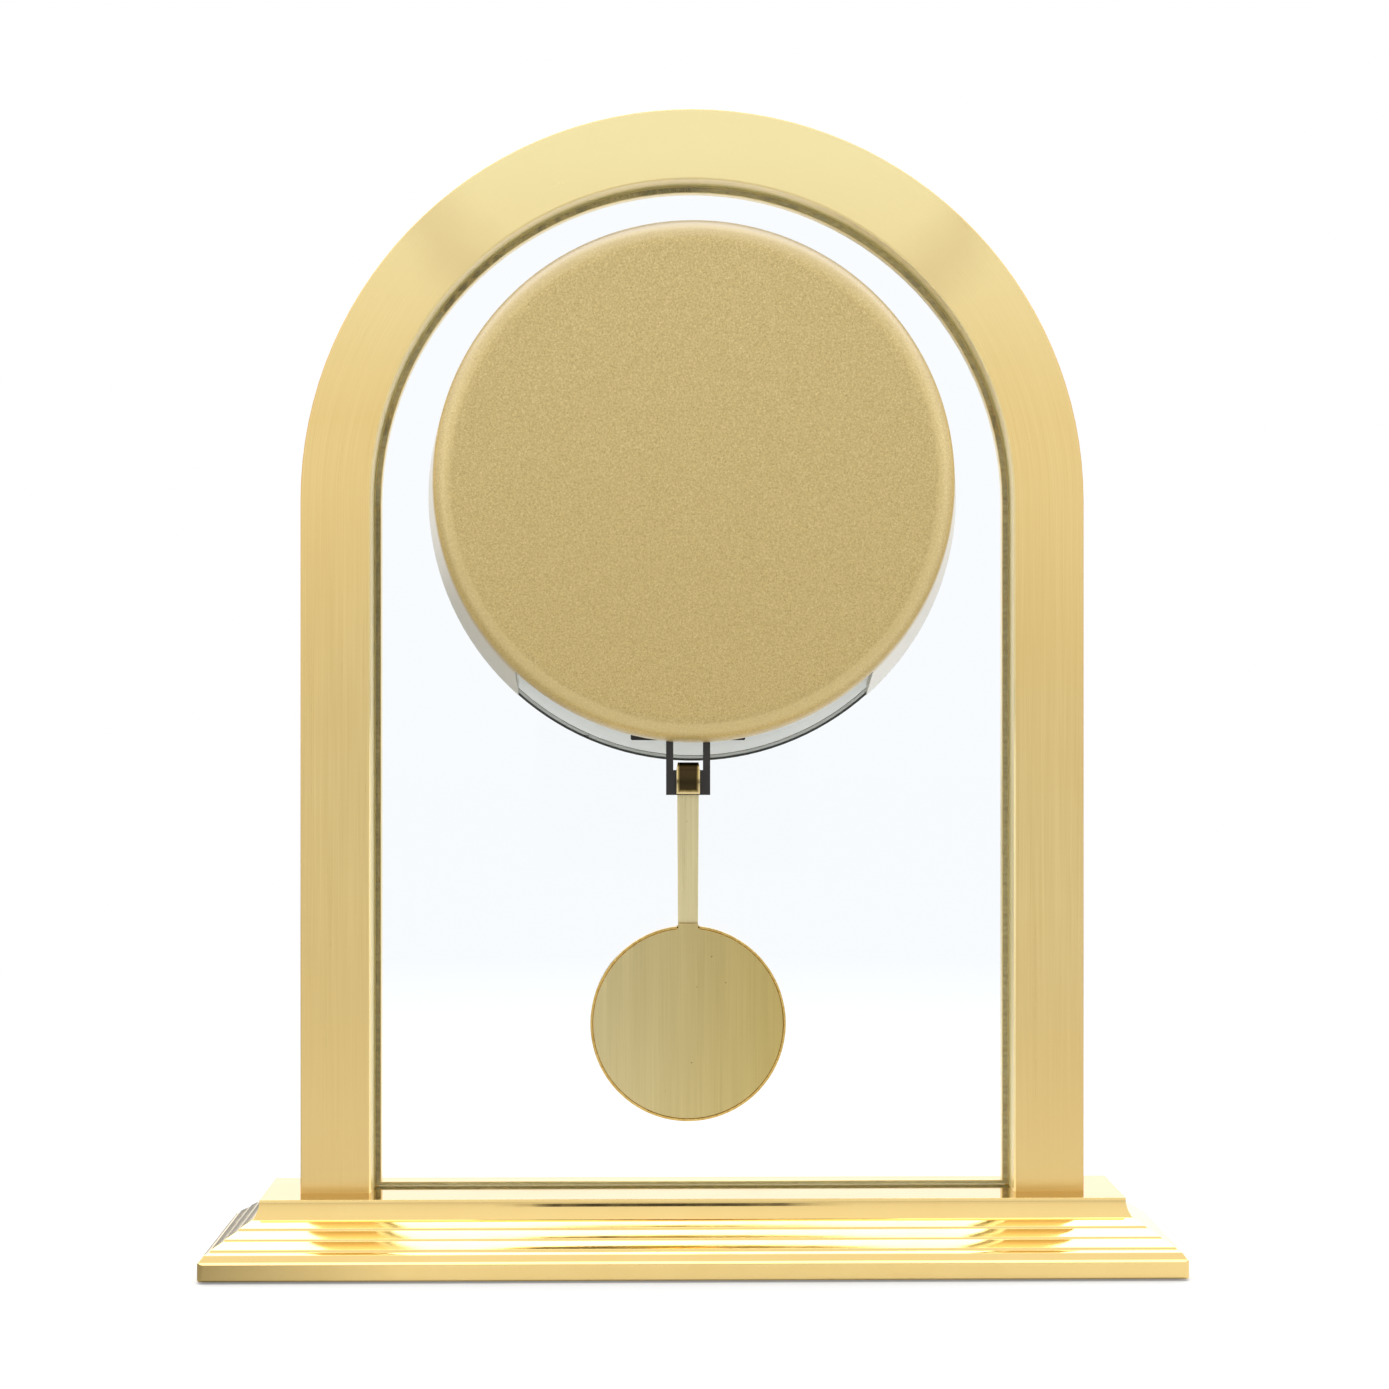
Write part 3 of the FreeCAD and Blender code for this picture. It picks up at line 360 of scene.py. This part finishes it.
@material("bob_shell_brass")
def bob_shell_brass(g):
    """Pressed dish: sunray brushing on its front, polished rim."""
    across, up = from_centre(g, BOB_CENTRE)
    turn = g.math("ARCTAN2", up, across)
    radius = g.diagonal(across, up)
    rays = g.noise(g.times(g.join(turn, radius, 0.0), (46.0, 60.0, 1.0)), detail=3.0)
    face = g.math("GREATER_THAN", g.axes()[1], BOB_CENTRE[1] + 1.0 * MM)
    colour = g.ramp(rays, [(0.35, tone(216, 176, 92)), (0.65, tone(238, 204, 124))])
    roughness = g.fit(g.math("MULTIPLY", rays, face), 0.0, 0.7, 0.1, 0.3)
    normal = g.bump(rays, 0.00002, g.math("MULTIPLY", face, 0.35), g.rounded(0.2 * MM))
    return principled(g, colour, 1.0, roughness, normal)


@material("gear_brass")
def gear_brass(g):
    """Stamped and turned brass with fine circular tool marks."""
    marks = g.noise(g.times(g.place(), (900.0, 5000.0, 900.0)), detail=3.0)
    stain = g.noise(g.place(), 260.0, 2.0)
    colour = g.ramp(stain, [(0.35, tone(205, 172, 96)), (0.7, tone(233, 206, 136))])
    normal = g.bump(marks, 0.00001, 0.3, g.rounded(0.04 * MM))
    return principled(g, colour, 1.0, g.fit(marks, 0.3, 0.7, 0.2, 0.34), normal)


@material("hook_brass")
def hook_brass(g):
    """Dark bronzed strip whose two long edges are bare bright brass."""
    x, _, z = g.axes()
    centre = (HOOK_LOW[0] + HOOK_HIGH[0]) / 2
    half = (HOOK_HIGH[0] - HOOK_LOW[0]) / 2
    out = g.math("DIVIDE", g.math("ABSOLUTE", g.math("SUBTRACT", x, centre)), half)
    wear = g.noise(g.times(g.place(), (700.0, 700.0, 160.0)), detail=4.0)
    foot = g.fit(z, HOOK_LOW[2] + 1.6 * MM, HOOK_LOW[2], 0.55, 1.0)
    out = g.math("MAXIMUM", out, foot)
    out = g.math("ADD", out, g.math("MULTIPLY", g.math("SUBTRACT", wear, 0.5), 0.16))
    colour = g.ramp(out, [(0.0, tone(76, 63, 39)), (0.7, tone(62, 51, 31)), (0.83, tone(150, 128, 76)),
                          (0.91, tone(222, 200, 146))])
    roughness = g.levels(out, [(0.7, 0.3), (0.9, 0.18)])
    return principled(g, colour, 1.0, roughness, g.bump(wear, 0.00002, 0.3, g.rounded(0.12 * MM)))


@material("steel")
def steel(g):
    """Zinc plate with soft spangles."""
    spangle = g.cells(g.place(), 900.0)
    grain = g.noise(g.place(), 3000.0, 2.0)
    colour = g.ramp(spangle, [(0.0, tone(168, 170, 170)), (0.6, tone(205, 206, 203))])
    normal = g.bump(grain, 0.00001, 0.3, g.rounded(0.1 * MM))
    return principled(g, colour, 1.0, g.fit(grain, 0.3, 0.7, 0.22, 0.36), normal)


@material("copper_wire")
def copper_wire(g):
    """Close turns of enamelled wire."""
    turns = g.add("ShaderNodeTexWave", {"Vector": g.place(), "Scale": 2600.0, "Distortion": 0.6},
                  bands_direction="Z")
    height = turns.outputs["Fac"]
    colour = g.ramp(height, [(0.0, tone(120, 52, 22)), (1.0, tone(222, 138, 84))])
    return principled(g, colour, 0.85, 0.28, g.bump(height, 0.00005, 0.7))


@material("magnet")
def magnet(g):
    """Sintered ferrite."""
    grit = g.noise(g.place(), 2600.0, 4.0, 0.7)
    colour = g.ramp(grit, [(0.3, tone(48, 48, 50)), (0.7, tone(96, 96, 99))])
    return principled(g, colour, 0.6, 0.42, g.bump(grit, 0.00002, 0.4, g.rounded(0.15 * MM)))


# ---- painted and printed surfaces ----
def speckles(g):
    """Paint grain, from 0 to 1 around a half."""
    speck = g.noise(g.place(), 5200.0, 2.0, 0.7)
    clump = g.noise(g.place(), 2100.0, 2.0, 0.6)
    return g.math("ADD", g.math("MULTIPLY", speck, 0.6), g.math("MULTIPLY", clump, 0.4))


def gold_tones(g, mixed, rise, z):
    """Gold of the cover's back, with painted shade that deepens it below and greys it where it faces up,
    and a painted highlight that pales a band round the rim.
    """
    gold = g.ramp(mixed, [(0.3, tone(157, 134, 80)), (0.5, tone(195, 171, 109)),
                          (0.7, tone(229, 208, 152))])
    # painted shade: darker towards the bottom of the cover
    gold = g.blend(g.fit(z, COVER_LOW[2], COVER_HIGH[2], 0.3, 0.0), gold, tone(160, 133, 66))
    fleck = g.math("LESS_THAN", g.cells(g.place(), 620.0), 0.085)
    gold = g.blend(g.math("MULTIPLY", fleck, 0.55), gold, tone(112, 88, 44))
    # painted shade: greyer and darker where the surface faces up, against the light from above
    gold = g.blend(g.levels(rise, [(0.1, 0.0), (0.85, 1.0)]), gold, tone(142, 129, 104))
    turned = g.math("ABSOLUTE", g.axes(g.normal())[1])
    # painted highlight: a paler band round the rounded rim, weaker where it faces up
    rim = g.levels(turned, [(0.62, 0.0), (0.84, 0.5), (0.95, 0.5), (0.995, 0.0)], smooth=True)
    return g.blend(g.math("MULTIPLY", rim, g.fit(rise, -1.0, 0.3, 1.0, 0.3)), gold, tone(228, 206, 144))


@material("gold_speckle_paint")
def gold_speckle_paint(g):
    """Speckled paint on a moulded cover: gold on its back, pale on its skirt."""
    _, y, z = g.axes()
    mixed = speckles(g)
    rise = g.axes(g.normal())[2]
    gold = gold_tones(g, mixed, rise, z)
    pale = g.ramp(mixed, [(0.34, tone(196, 190, 174)), (0.66, tone(230, 227, 216))])
    # painted shade: the pale skirt is darker where it faces up
    pale = g.blend(g.levels(rise, [(0.3, 0.0), (1.0, 0.6)]), pale, tone(150, 146, 132))
    depth = g.fit(y, COVER_LOW[1], COVER_HIGH[1], 0.0, 1.0)
    colour = g.blend(g.levels(depth, [(0.16, 0.0), (0.34, 1.0)], smooth=True), gold, pale)
    normal = g.bump(mixed, 0.00004, 0.25, g.rounded(0.2 * MM))
    return principled(g, colour, 0.15, g.fit(mixed, 0.35, 0.65, 0.38, 0.48), normal,
                      Coat_Weight=0.4, Coat_Roughness=0.28)


@material("silver_aluminium")
def silver_aluminium(g):
    """Aluminium dial plate: bright matt metal behind, lit by a faint painted emission, warm white print in
    front.
    """
    front = g.math("GREATER_THAN", g.axes(g.normal())[1], 0.5)
    rolled = g.noise(g.times(g.place(), (220.0, 2000.0, 4200.0)), detail=2.0)
    metal = g.ramp(rolled, [(0.3, tone(246, 243, 234)), (0.7, tone(254, 252, 245))])
    fibre = g.noise(g.place(), 1500.0, 3.0)
    paper = g.ramp(fibre, [(0.3, tone(240, 236, 222)), (0.7, tone(249, 246, 235))])
    colour = g.blend(front, metal, paper)
    metallic = g.fit(front, 0.0, 1.0, 0.1, 0.0)
    roughness = g.fit(rolled, 0.3, 0.7, 0.38, 0.5)
    normal = g.bump(rolled, 0.00001, 0.25, g.rounded(0.1 * MM))
    # painted light: the back of the plate emits faintly so that it looks lit inside the cover
    painted_glow = g.fit(front, 0.0, 1.0, 0.2, 0.0)
    return principled(g, colour, metallic, roughness, normal,
                      Emission_Color=tone(228, 230, 220), Emission_Strength=painted_glow)


@material("black_hand")
def black_hand(g):
    """Satin black paint."""
    grain = g.noise(g.place(), 2600.0, 2.0)
    colour = g.ramp(grain, [(0.3, tone(24, 23, 24)), (0.7, tone(38, 37, 38))])
    return principled(g, colour, 0.0, g.fit(grain, 0.3, 0.7, 0.28, 0.4),
                      g.bump(grain, 0.00001, 0.3, g.rounded(0.08 * MM)))


@material("dial_ink")
def dial_ink(g):
    """Slightly blotted black print."""
    blot = g.noise(g.place(), 1800.0, 3.0)
    colour = g.ramp(blot, [(0.3, tone(26, 24, 26)), (0.7, tone(48, 45, 46))])
    return principled(g, colour, 0.0, 0.42, g.bump(blot, 0.000005, 0.3))


@material("black_painted_steel")
def black_painted_steel(g):
    """Grey-black paint with orange peel."""
    peel = g.noise(g.place(), 1100.0, 2.0)
    colour = g.ramp(peel, [(0.3, tone(44, 44, 45)), (0.7, tone(62, 62, 63))])
    return principled(g, colour, 0.0, g.fit(peel, 0.3, 0.7, 0.34, 0.48),
                      g.bump(peel, 0.00003, 0.5, g.rounded(0.15 * MM)))


@material("battery_wrap")
def battery_wrap(g):
    """Plain two-band wrap with bare steel at both ends of the cell."""
    spans = [high - low for low, high in zip(BATTERY_LOW, BATTERY_HIGH)]
    axis = spans.index(max(spans))
    share = g.fit(g.axes()[axis], BATTERY_LOW[axis], BATTERY_HIGH[axis], 0.0, 1.0)
    scuff = g.noise(g.place(), 700.0, 3.0)
    bands = [(0.035, tone(176, 176, 172)), (0.04, tone(34, 40, 56)), (0.66, tone(38, 44, 62)),
             (0.67, tone(196, 142, 70)), (0.94, tone(204, 152, 80)), (0.945, tone(190, 190, 186))]
    colour = g.ramp(share, bands)
    return principled(g, colour, 0.35, g.fit(scuff, 0.3, 0.7, 0.22, 0.36), g.bump(scuff, 0.00001, 0.3))


@material("circuit_green")
def circuit_green(g):
    """Solder mask over faint copper tracks."""
    tracks = g.add("ShaderNodeTexBrick", {"Vector": g.times(g.place(), (420.0, 420.0, 420.0)),
                                          "Color1": tone(14, 84, 44), "Color2": tone(20, 96, 52),
                                          "Mortar": tone(58, 138, 84), "Mortar Size": 0.05})
    grain = g.noise(g.place(), 2400.0, 2.0)
    return principled(g, tracks.outputs[0], 0.0, 0.3, g.bump(grain, 0.00001, 0.3, g.rounded(0.1 * MM)))


# ---- plastics, rubber, felt ----
def moulded_plastic(g, dark, light, roughness, radius=0.25):
    """Fine moulding grain over soft clouds, between two tones."""
    grain = g.noise(g.place(), 2600.0, 3.0, 0.6)
    cloud = g.noise(g.place(), 90.0, 2.0)
    colour = g.ramp(g.math("ADD", g.math("MULTIPLY", grain, 0.5), g.math("MULTIPLY", cloud, 0.5)),
                    [(0.35, dark), (0.65, light)])
    normal = g.bump(grain, 0.00002, 0.35, g.rounded(radius * MM))
    return principled(g, colour, 0.0, g.fit(grain, 0.3, 0.7, roughness - 0.06, roughness + 0.06), normal)


@material("black_plastic")
def black_plastic(g):
    """Movement case, setting knob and pendulum housing."""
    return moulded_plastic(g, tone(28, 24, 22), tone(41, 36, 33), 0.42)


@material("white_plastic")
def white_plastic(g):
    """The cover's ring."""
    return moulded_plastic(g, tone(224, 221, 212), tone(238, 236, 228), 0.36)


@material("nylon")
def nylon(g):
    """The small gear wheels."""
    return moulded_plastic(g, tone(214, 208, 188), tone(229, 224, 206), 0.45, radius=0.06)


@material("black_rubber")
def black_rubber(g):
    """Matt dark rubber."""
    return moulded_plastic(g, tone(32, 33, 28), tone(43, 44, 38), 0.6)


@material("seal_rubber")
def seal_rubber(g):
    """Dark seal whose inner lip is as pale as the dial plate."""
    across, up = from_centre(g, DIAL_CENTRE)
    radius = g.diagonal(across, up)
    lip = g.fit(radius, SEAL_LIP_INNER, SEAL_LIP_OUTER, 1.0, 0.0)
    grain = g.noise(g.place(), 2600.0, 3.0, 0.6)
    rubber = g.ramp(grain, [(0.35, tone(52, 54, 46)), (0.65, tone(70, 72, 62))])
    colour = g.blend(lip, rubber, tone(212, 212, 203))
    return principled(g, colour, 0.0, 0.55, g.bump(grain, 0.00002, 0.35, g.rounded(0.2 * MM)))


@material("black_felt")
def black_felt(g):
    """Short pile, lighter where it is seen edge on."""
    fibre = g.noise(g.place(), 1900.0, 5.0, 0.8)
    colour = g.ramp(fibre, [(0.3, tone(26, 29, 26)), (0.7, tone(58, 62, 57))])
    return principled(g, colour, 0.0, 0.95, g.bump(fibre, 0.0002, 0.8), Sheen_Weight=0.5)


# ---- glass ----
def clear_sheet(g, tint, edge_tint, ior, roughness, smear):
    """Thin clear sheet: tinted see-through plus a mirror reflection as light enters it."""
    facing = g.add("ShaderNodeLayerWeight", {0: 0.4}).outputs["Facing"]
    colour = g.blend(g.levels(facing, [(0.55, 0.0), (1.0, 1.0)]), tint, edge_tint)
    through = g.add("ShaderNodeBsdfTransparent", {"Color": colour})
    dust = g.noise(g.place(), 40.0, 4.0)
    rough = g.fit(dust, 0.4, 0.8, roughness, roughness + smear)
    mirror = g.add("ShaderNodeBsdfGlossy", {"Roughness": rough})
    leaving = g.add("ShaderNodeNewGeometry").outputs["Backfacing"]
    mirrored = g.add("ShaderNodeFresnel", {"IOR": ior}).outputs[0]
    share = g.math("MULTIPLY", mirrored, g.math("SUBTRACT", 1.0, leaving))
    mixed = g.add("ShaderNodeMixShader", {0: share, 1: through.outputs[0], 2: mirror.outputs[0]})
    return mixed.outputs[0]


@material("glass")
def glass(g):
    """The pane, greener where it is seen edge on."""
    return clear_sheet(g, (0.975, 0.988, 1.0, 1.0), (0.80, 0.92, 0.89, 1.0), 1.3, 0.02, 0.05)


@material("lens_glass")
def lens_glass(g):
    """The dial's lens."""
    return clear_sheet(g, (0.985, 0.99, 0.99, 1.0), (0.86, 0.92, 0.92, 1.0), 1.45, 0.015, 0.04)


@material("clear_tape")
def clear_tape(g):
    """Milky bedding tape."""
    crease = g.noise(g.times(g.place(), (300.0, 900.0, 900.0)), detail=3.0)
    body = principled(g, tone(232, 220, 168), 0.0, 0.35, g.bump(crease, 0.00003, 0.4))
    through = g.add("ShaderNodeBsdfTransparent", {"Color": (0.95, 0.93, 0.8, 1.0)})
    share = g.fit(crease, 0.3, 0.7, 0.3, 0.5)
    return g.add("ShaderNodeMixShader", {0: share, 1: through.outputs[0], 2: body}).outputs[0]


# ---- dressing the frame ----
NODE_FINISH = {"pendulum_rod": "satin_rod_brass", "bob_shell": "bob_shell_brass",
               "dial_seal": "seal_rubber"}


def dress_frame():
    """Gives every CAD node the finish of its material slot, or its own special finish."""
    slots = {part["node"]: part["material_slot"] for part in frame["record"]["subparts"]}
    for node, shape in frame["nodes"].items():
        finish = MATERIALS[NODE_FINISH.get(node, slots[node])]
        for slot in shape.material_slots:
            slot.material = finish


# ---- printed dial ----
RING_STEPS = 144
MERGE_DISTANCE = 1e-7


class Mesh:
    """Collects flat shapes on the dial's plane and turns them into one thin raised piece."""

    def __init__(self, low, high):
        self.low = low
        self.high = high
        self.points = []
        self.faces = []

    def prism(self, outline):
        """A shape given as (x, z) corners, made solid between the two Y levels."""
        first = len(self.points)
        count = len(outline)
        self.points += [(x, self.low, z) for x, z in outline]
        self.points += [(x, self.high, z) for x, z in outline]
        self.faces.append([first + n for n in range(count)])
        self.faces.append([first + count + n for n in range(count)])
        for n in range(count):
            after = (n + 1) % count
            self.faces.append([first + n, first + after, first + count + after, first + count + n])

    def ring(self, centre, inner, outer):
        """A flat ring in short straight pieces."""
        for n in range(RING_STEPS):
            a, b = (2 * math.pi * k / RING_STEPS for k in (n, n + 1))
            self.prism([(centre[0] + r * math.sin(t), centre[2] + r * math.cos(t))
                        for r, t in ((inner, a), (outer, a), (outer, b), (inner, b))])

    def piece(self, name, finish):
        """Makes the piece and lets it ride on the clock's frame."""
        data = bpy.data.meshes.new(name)
        data.from_pydata(self.points, [], self.faces)
        solid = bmesh.new()
        solid.from_mesh(data)
        bmesh.ops.remove_doubles(solid, verts=solid.verts, dist=MERGE_DISTANCE)
        bmesh.ops.recalc_face_normals(solid, faces=solid.faces)
        solid.to_mesh(data)
        solid.free()
        made = bpy.data.objects.new(name, data)
        bpy.context.scene.collection.objects.link(made)
        data.materials.append(MATERIALS[finish])
        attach(made, "frame")
        return made


def on_dial(turn, across, out):
    """A point on the dial: across to the viewer's right and out from the centre, turned clockwise."""
    x = -(out * math.sin(turn) + across * math.cos(turn))
    z = out * math.cos(turn) - across * math.sin(turn)
    return DIAL_CENTRE[0] + x, DIAL_CENTRE[2] + z


PRINT_LOW = DIAL_FRONT + 0.004 * MM
PRINT_HIGH = DIAL_FRONT + 0.05 * MM

TRACK_LOW = 53.6 * MM
TRACK_HIGH = 55.6 * MM
TRACK_RINGS = (53.35 * MM, 55.65 * MM)
TRACK_LINE = 0.25 * MM
HOUR_STROKE = 0.84 * MM
MINUTE_STROKE = 0.28 * MM


def minute_track():
    """Sixty strokes between two fine rings."""
    track = Mesh(PRINT_LOW, PRINT_HIGH)
    for n in range(60):
        turn = math.radians(6 * n)
        half = (HOUR_STROKE if n % 5 == 0 else MINUTE_STROKE) / 2
        corners = ((-half, TRACK_LOW), (half, TRACK_LOW), (half, TRACK_HIGH), (-half, TRACK_HIGH))
        track.prism([on_dial(turn, across, out) for across, out in corners])
    for radius in TRACK_RINGS:
        track.ring(DIAL_CENTRE, radius, radius + TRACK_LINE)
    return track.piece("minute_track", "dial_ink")


# widths are shares of the letters' height
LETTER_WIDTH = {"I": 0.4, "V": 0.86, "X": 0.86}
NUMERALS = ["XII", "I", "II", "III", "IIII", "V", "VI", "VII", "VIII", "IX", "X", "XI"]
NUMERAL_HEIGHT = 7.4 * MM
NUMERAL_FOOT = 36.2 * MM
THICK = 0.15
THIN = 0.055
SIDE_GAP = 0.2
SERIF = 0.045
SERIF_REACH = 0.09


def letter_strokes(letter, start):
    """Strokes of one numeral letter of height 1, as (foot, head, width) across the line."""
    width = LETTER_WIDTH[letter]
    left, right, centre = start + SIDE_GAP, start + width - SIDE_GAP, start + width / 2
    if letter == "I":
        return [(centre, centre, THICK)]
    if letter == "V":
        return [(centre, left, THICK), (centre, right, THIN)]
    return [(right, left, THICK), (left, right, THIN)]


def stroke_outlines(letter, foot, head, width):
    """One stroke and its serifs; a V has none at its foot."""
    half = width / 2
    outlines = [((foot - half, 0), (foot + half, 0), (head + half, 1), (head - half, 1))]
    for at, level in ((foot, 0.0), (head, 1.0 - SERIF)):
        if letter == "V" and level == 0.0:
            continue
        reach = half + SERIF_REACH
        outlines.append(((at - reach, level), (at + reach, level), (at + reach, level + SERIF),
                         (at - reach, level + SERIF)))
    return outlines


def numerals():
    """Roman numerals standing on the dial's centre."""
    letters = Mesh(PRINT_LOW, PRINT_HIGH)
    for hour, text in enumerate(NUMERALS):
        turn = math.radians(30 * hour)
        start = -sum(LETTER_WIDTH[c] for c in text) / 2
        for letter in text:
            for foot, head, width in letter_strokes(letter, start):
                for outline in stroke_outlines(letter, foot, head, width):
                    letters.prism([on_dial(turn, a * NUMERAL_HEIGHT, NUMERAL_FOOT + b * NUMERAL_HEIGHT)
                                   for a, b in outline])
            start += LETTER_WIDTH[letter]
    return letters.piece("roman_numerals", "dial_ink")


# ---- studio ----
# (height, radiance) stops, where height runs from 0 straight down to 1 straight up
FRONT_TENT = [(0.5, 0.86), (0.6, 1.02), (0.74, 1.06), (0.96, 1.1), (0.985, 2.6)]
BACK_TENT = [(0.5, 0.8), (0.7, 0.9), (0.8, 2.6), (0.93, 2.6)]
BACK_TENT_MIRRORED = 1.5


def studio_world():
    """White to the camera; for light and reflections a tent that is brighter above and behind."""
    world = bpy.data.worlds.new("studio")
    world.use_nodes = True
    bpy.context.scene.world = world
    g = Graph(world.node_tree)
    _, y, z = g.axes(g.add("ShaderNodeTexCoord").outputs["Generated"])
    height = g.fit(z, -1.0, 1.0, 0.0, 1.0)
    front = g.levels(height, FRONT_TENT)
    back = g.levels(height, BACK_TENT)
    back = g.math("MULTIPLY", back, g.fit(g.glossy_ray(), 0.0, 1.0, 1.0, BACK_TENT_MIRRORED))
    light = g.blend(g.fit(y, -0.12, 0.12, 0.0, 1.0), front, back)
    seen = g.add("ShaderNodeBackground", {0: WHITE, 1: 1.0})
    lit = g.add("ShaderNodeBackground", {0: light, 1: 1.0})
    both = g.add("ShaderNodeMixShader", {0: g.camera_ray(), 1: lit.outputs[0], 2: seen.outputs[0]})
    g.add("ShaderNodeOutputWorld", {"Surface": both.outputs[0]})


def softbox(name, place, aim, size, radiance, mirrored=True):
    """A rectangular soft light at a place, facing a point, with its surface brightness."""
    lamp = bpy.data.lights.new(name, "AREA")
    lamp.shape = "RECTANGLE"
    lamp.size, lamp.size_y = size
    lamp.energy = radiance * math.pi * size[0] * size[1]
    made = bpy.data.objects.new(name, lamp)
    bpy.context.scene.collection.objects.link(made)
    made.location = place
    direction = [b - a for a, b in zip(place, aim)]
    made.rotation_euler = aimed(direction)
    made.visible_camera = False
    made.visible_glossy = mirrored


def aimed(direction):
    """The turn that points a camera or light along a direction, keeping its top up."""
    across = math.hypot(direction[0], direction[1])
    tilt = math.atan2(across, -direction[2])
    turn = math.atan2(direction[1], direction[0]) - math.pi / 2
    return tilt, 0.0, turn


LIGHT_AIM = (0.0, 0.0, 0.14)


def studio_lights():
    """A wide light above, which reflections miss, and a tall light on each side."""
    softbox("top_box", (0.0, -0.15, 1.25), LIGHT_AIM, (1.3, 0.9), 2.1, mirrored=False)
    softbox("left_box", (-1.3, -0.55, 0.5), LIGHT_AIM, (0.5, 1.0), 1.5)
    softbox("right_box", (1.3, -0.45, 0.5), LIGHT_AIM, (0.5, 1.0), 1.4)


FLOOR_LOW_TONE = (0.437, 0.445, 0.455, 1.0)
FLOOR_HIGH_TONE = (0.445, 0.453, 0.463, 1.0)
FLOOR_LIFT = 0.25
FLOOR_FADE = (0.25, 0.8)
FLOOR_HALF = 4.0


def floor_tones(g, x, y):
    """The sheet's white; in reflections only it carries painted light, brighter near the clock, and
    painted shade by its left end.
    """
    mottled = g.noise(g.place(), 6.0, 2.0)
    colour = g.ramp(mottled, [(0.3, FLOOR_LOW_TONE), (0.7, FLOOR_HIGH_TONE)])
    # painted light: the floor seen in reflections is brighter near the clock
    near = g.fit(y, -0.4, -0.06, 0.8, 1.25)
    # painted shade: the floor seen in reflections is darker by its left end
    left = g.fit(x, -0.125, -0.07, 0.35, 1.0)
    left = g.math("MAXIMUM", left, g.fit(y, -0.09, -0.07, 1.0, 0.0))
    reflected = g.blend(1.0, colour, g.math("MULTIPLY", near, left), "MULTIPLY")
    return g.blend(g.camera_ray(), reflected, colour)


@material("studio_floor")
def studio_floor(g):
    """White sweep: clear white to the camera except where the clock shades it."""
    x, y, _ = g.axes()
    sheet = g.add("ShaderNodeBsdfDiffuse", {"Color": floor_tones(g, x, y)})
    lifted = g.math("MULTIPLY", g.camera_ray(), FLOOR_LIFT)
    lift = g.add("ShaderNodeEmission", {"Color": WHITE, "Strength": lifted})
    near_sheet = g.add("ShaderNodeAddShader", {0: sheet.outputs[0], 1: lift.outputs[0]}).outputs[0]
    far_sheet = g.add("ShaderNodeEmission", {"Color": WHITE, "Strength": 1.0}).outputs[0]
    far = g.math("MULTIPLY", g.camera_ray(), g.fit(g.diagonal(x, y), *FLOOR_FADE, 0.0, 1.0))
    return g.add("ShaderNodeMixShader", {0: far, 1: near_sheet, 2: far_sheet}).outputs[0]


def floor():
    """A flat square sheet under the clock."""
    half = FLOOR_HALF
    corners = [(-half, -half, 0), (half, -half, 0), (half, half, 0), (-half, half, 0)]
    data = bpy.data.meshes.new("studio_floor")
    data.from_pydata(corners, [], [(0, 1, 2, 3)])
    data.materials.append(MATERIALS["studio_floor"])
    made = bpy.data.objects.new("studio_floor", data)
    bpy.context.scene.collection.objects.link(made)


CAMERA_DISTANCE = 0.700
CAMERA_HEIGHT = 0.1397
CAMERA_YAW = math.radians(1.0)
FOCAL_LENGTH = 74.6
SENSOR = 36.0
SHIFT_RIGHT = 1.5 / IMAGE_WIDTH
SHIFT_DOWN = 4.5 / IMAGE_WIDTH
CARD_LOW = CAMERA_HEIGHT - 0.09
CARD_HIGH = CAMERA_HEIGHT + 0.07
CARD_HALF = 0.065
CARD_BACK = ARCH_LOW[1] - CAMERA_DISTANCE - 0.03


def dark_card():
    """The dark front of the camera, which only shows as a reflection in the polished base."""
    corners = [(-CARD_HALF, CARD_BACK, CARD_LOW), (CARD_HALF, CARD_BACK, CARD_LOW),
               (CARD_HALF, CARD_BACK, CARD_HIGH), (-CARD_HALF, CARD_BACK, CARD_HIGH)]
    data = bpy.data.meshes.new("camera_card")
    data.from_pydata(corners, [], [(0, 1, 2, 3)])
    data.materials.append(MATERIALS["black_rubber"])
    made = bpy.data.objects.new("camera_card", data)
    bpy.context.scene.collection.objects.link(made)
    made.visible_camera = False
    made.visible_shadow = False
    made.visible_diffuse = False


def camera():
    """Level camera behind the clock at half its height, turned very slightly."""
    data = bpy.data.cameras.new("camera")
    data.lens = FOCAL_LENGTH
    data.sensor_width = SENSOR
    data.shift_x = SHIFT_RIGHT
    data.shift_y = -SHIFT_DOWN
    data.clip_start = 0.02
    made = bpy.data.objects.new("camera", data)
    bpy.context.scene.collection.objects.link(made)
    made.location = (-CAMERA_DISTANCE * math.sin(CAMERA_YAW),
                     ARCH_LOW[1] - CAMERA_DISTANCE * math.cos(CAMERA_YAW), CAMERA_HEIGHT)
    made.rotation_euler = (math.pi / 2, 0.0, -CAMERA_YAW)
    bpy.context.scene.camera = made


def colours():
    """Plain display colours."""
    settings = bpy.context.scene.view_settings
    settings.view_transform = "Standard"
    settings.look = "None"
    settings.exposure = 0.0
    settings.gamma = 1.0


dress_frame()
minute_track()
numerals()
studio_world()
studio_lights()
floor()
dark_card()
camera()
colours()
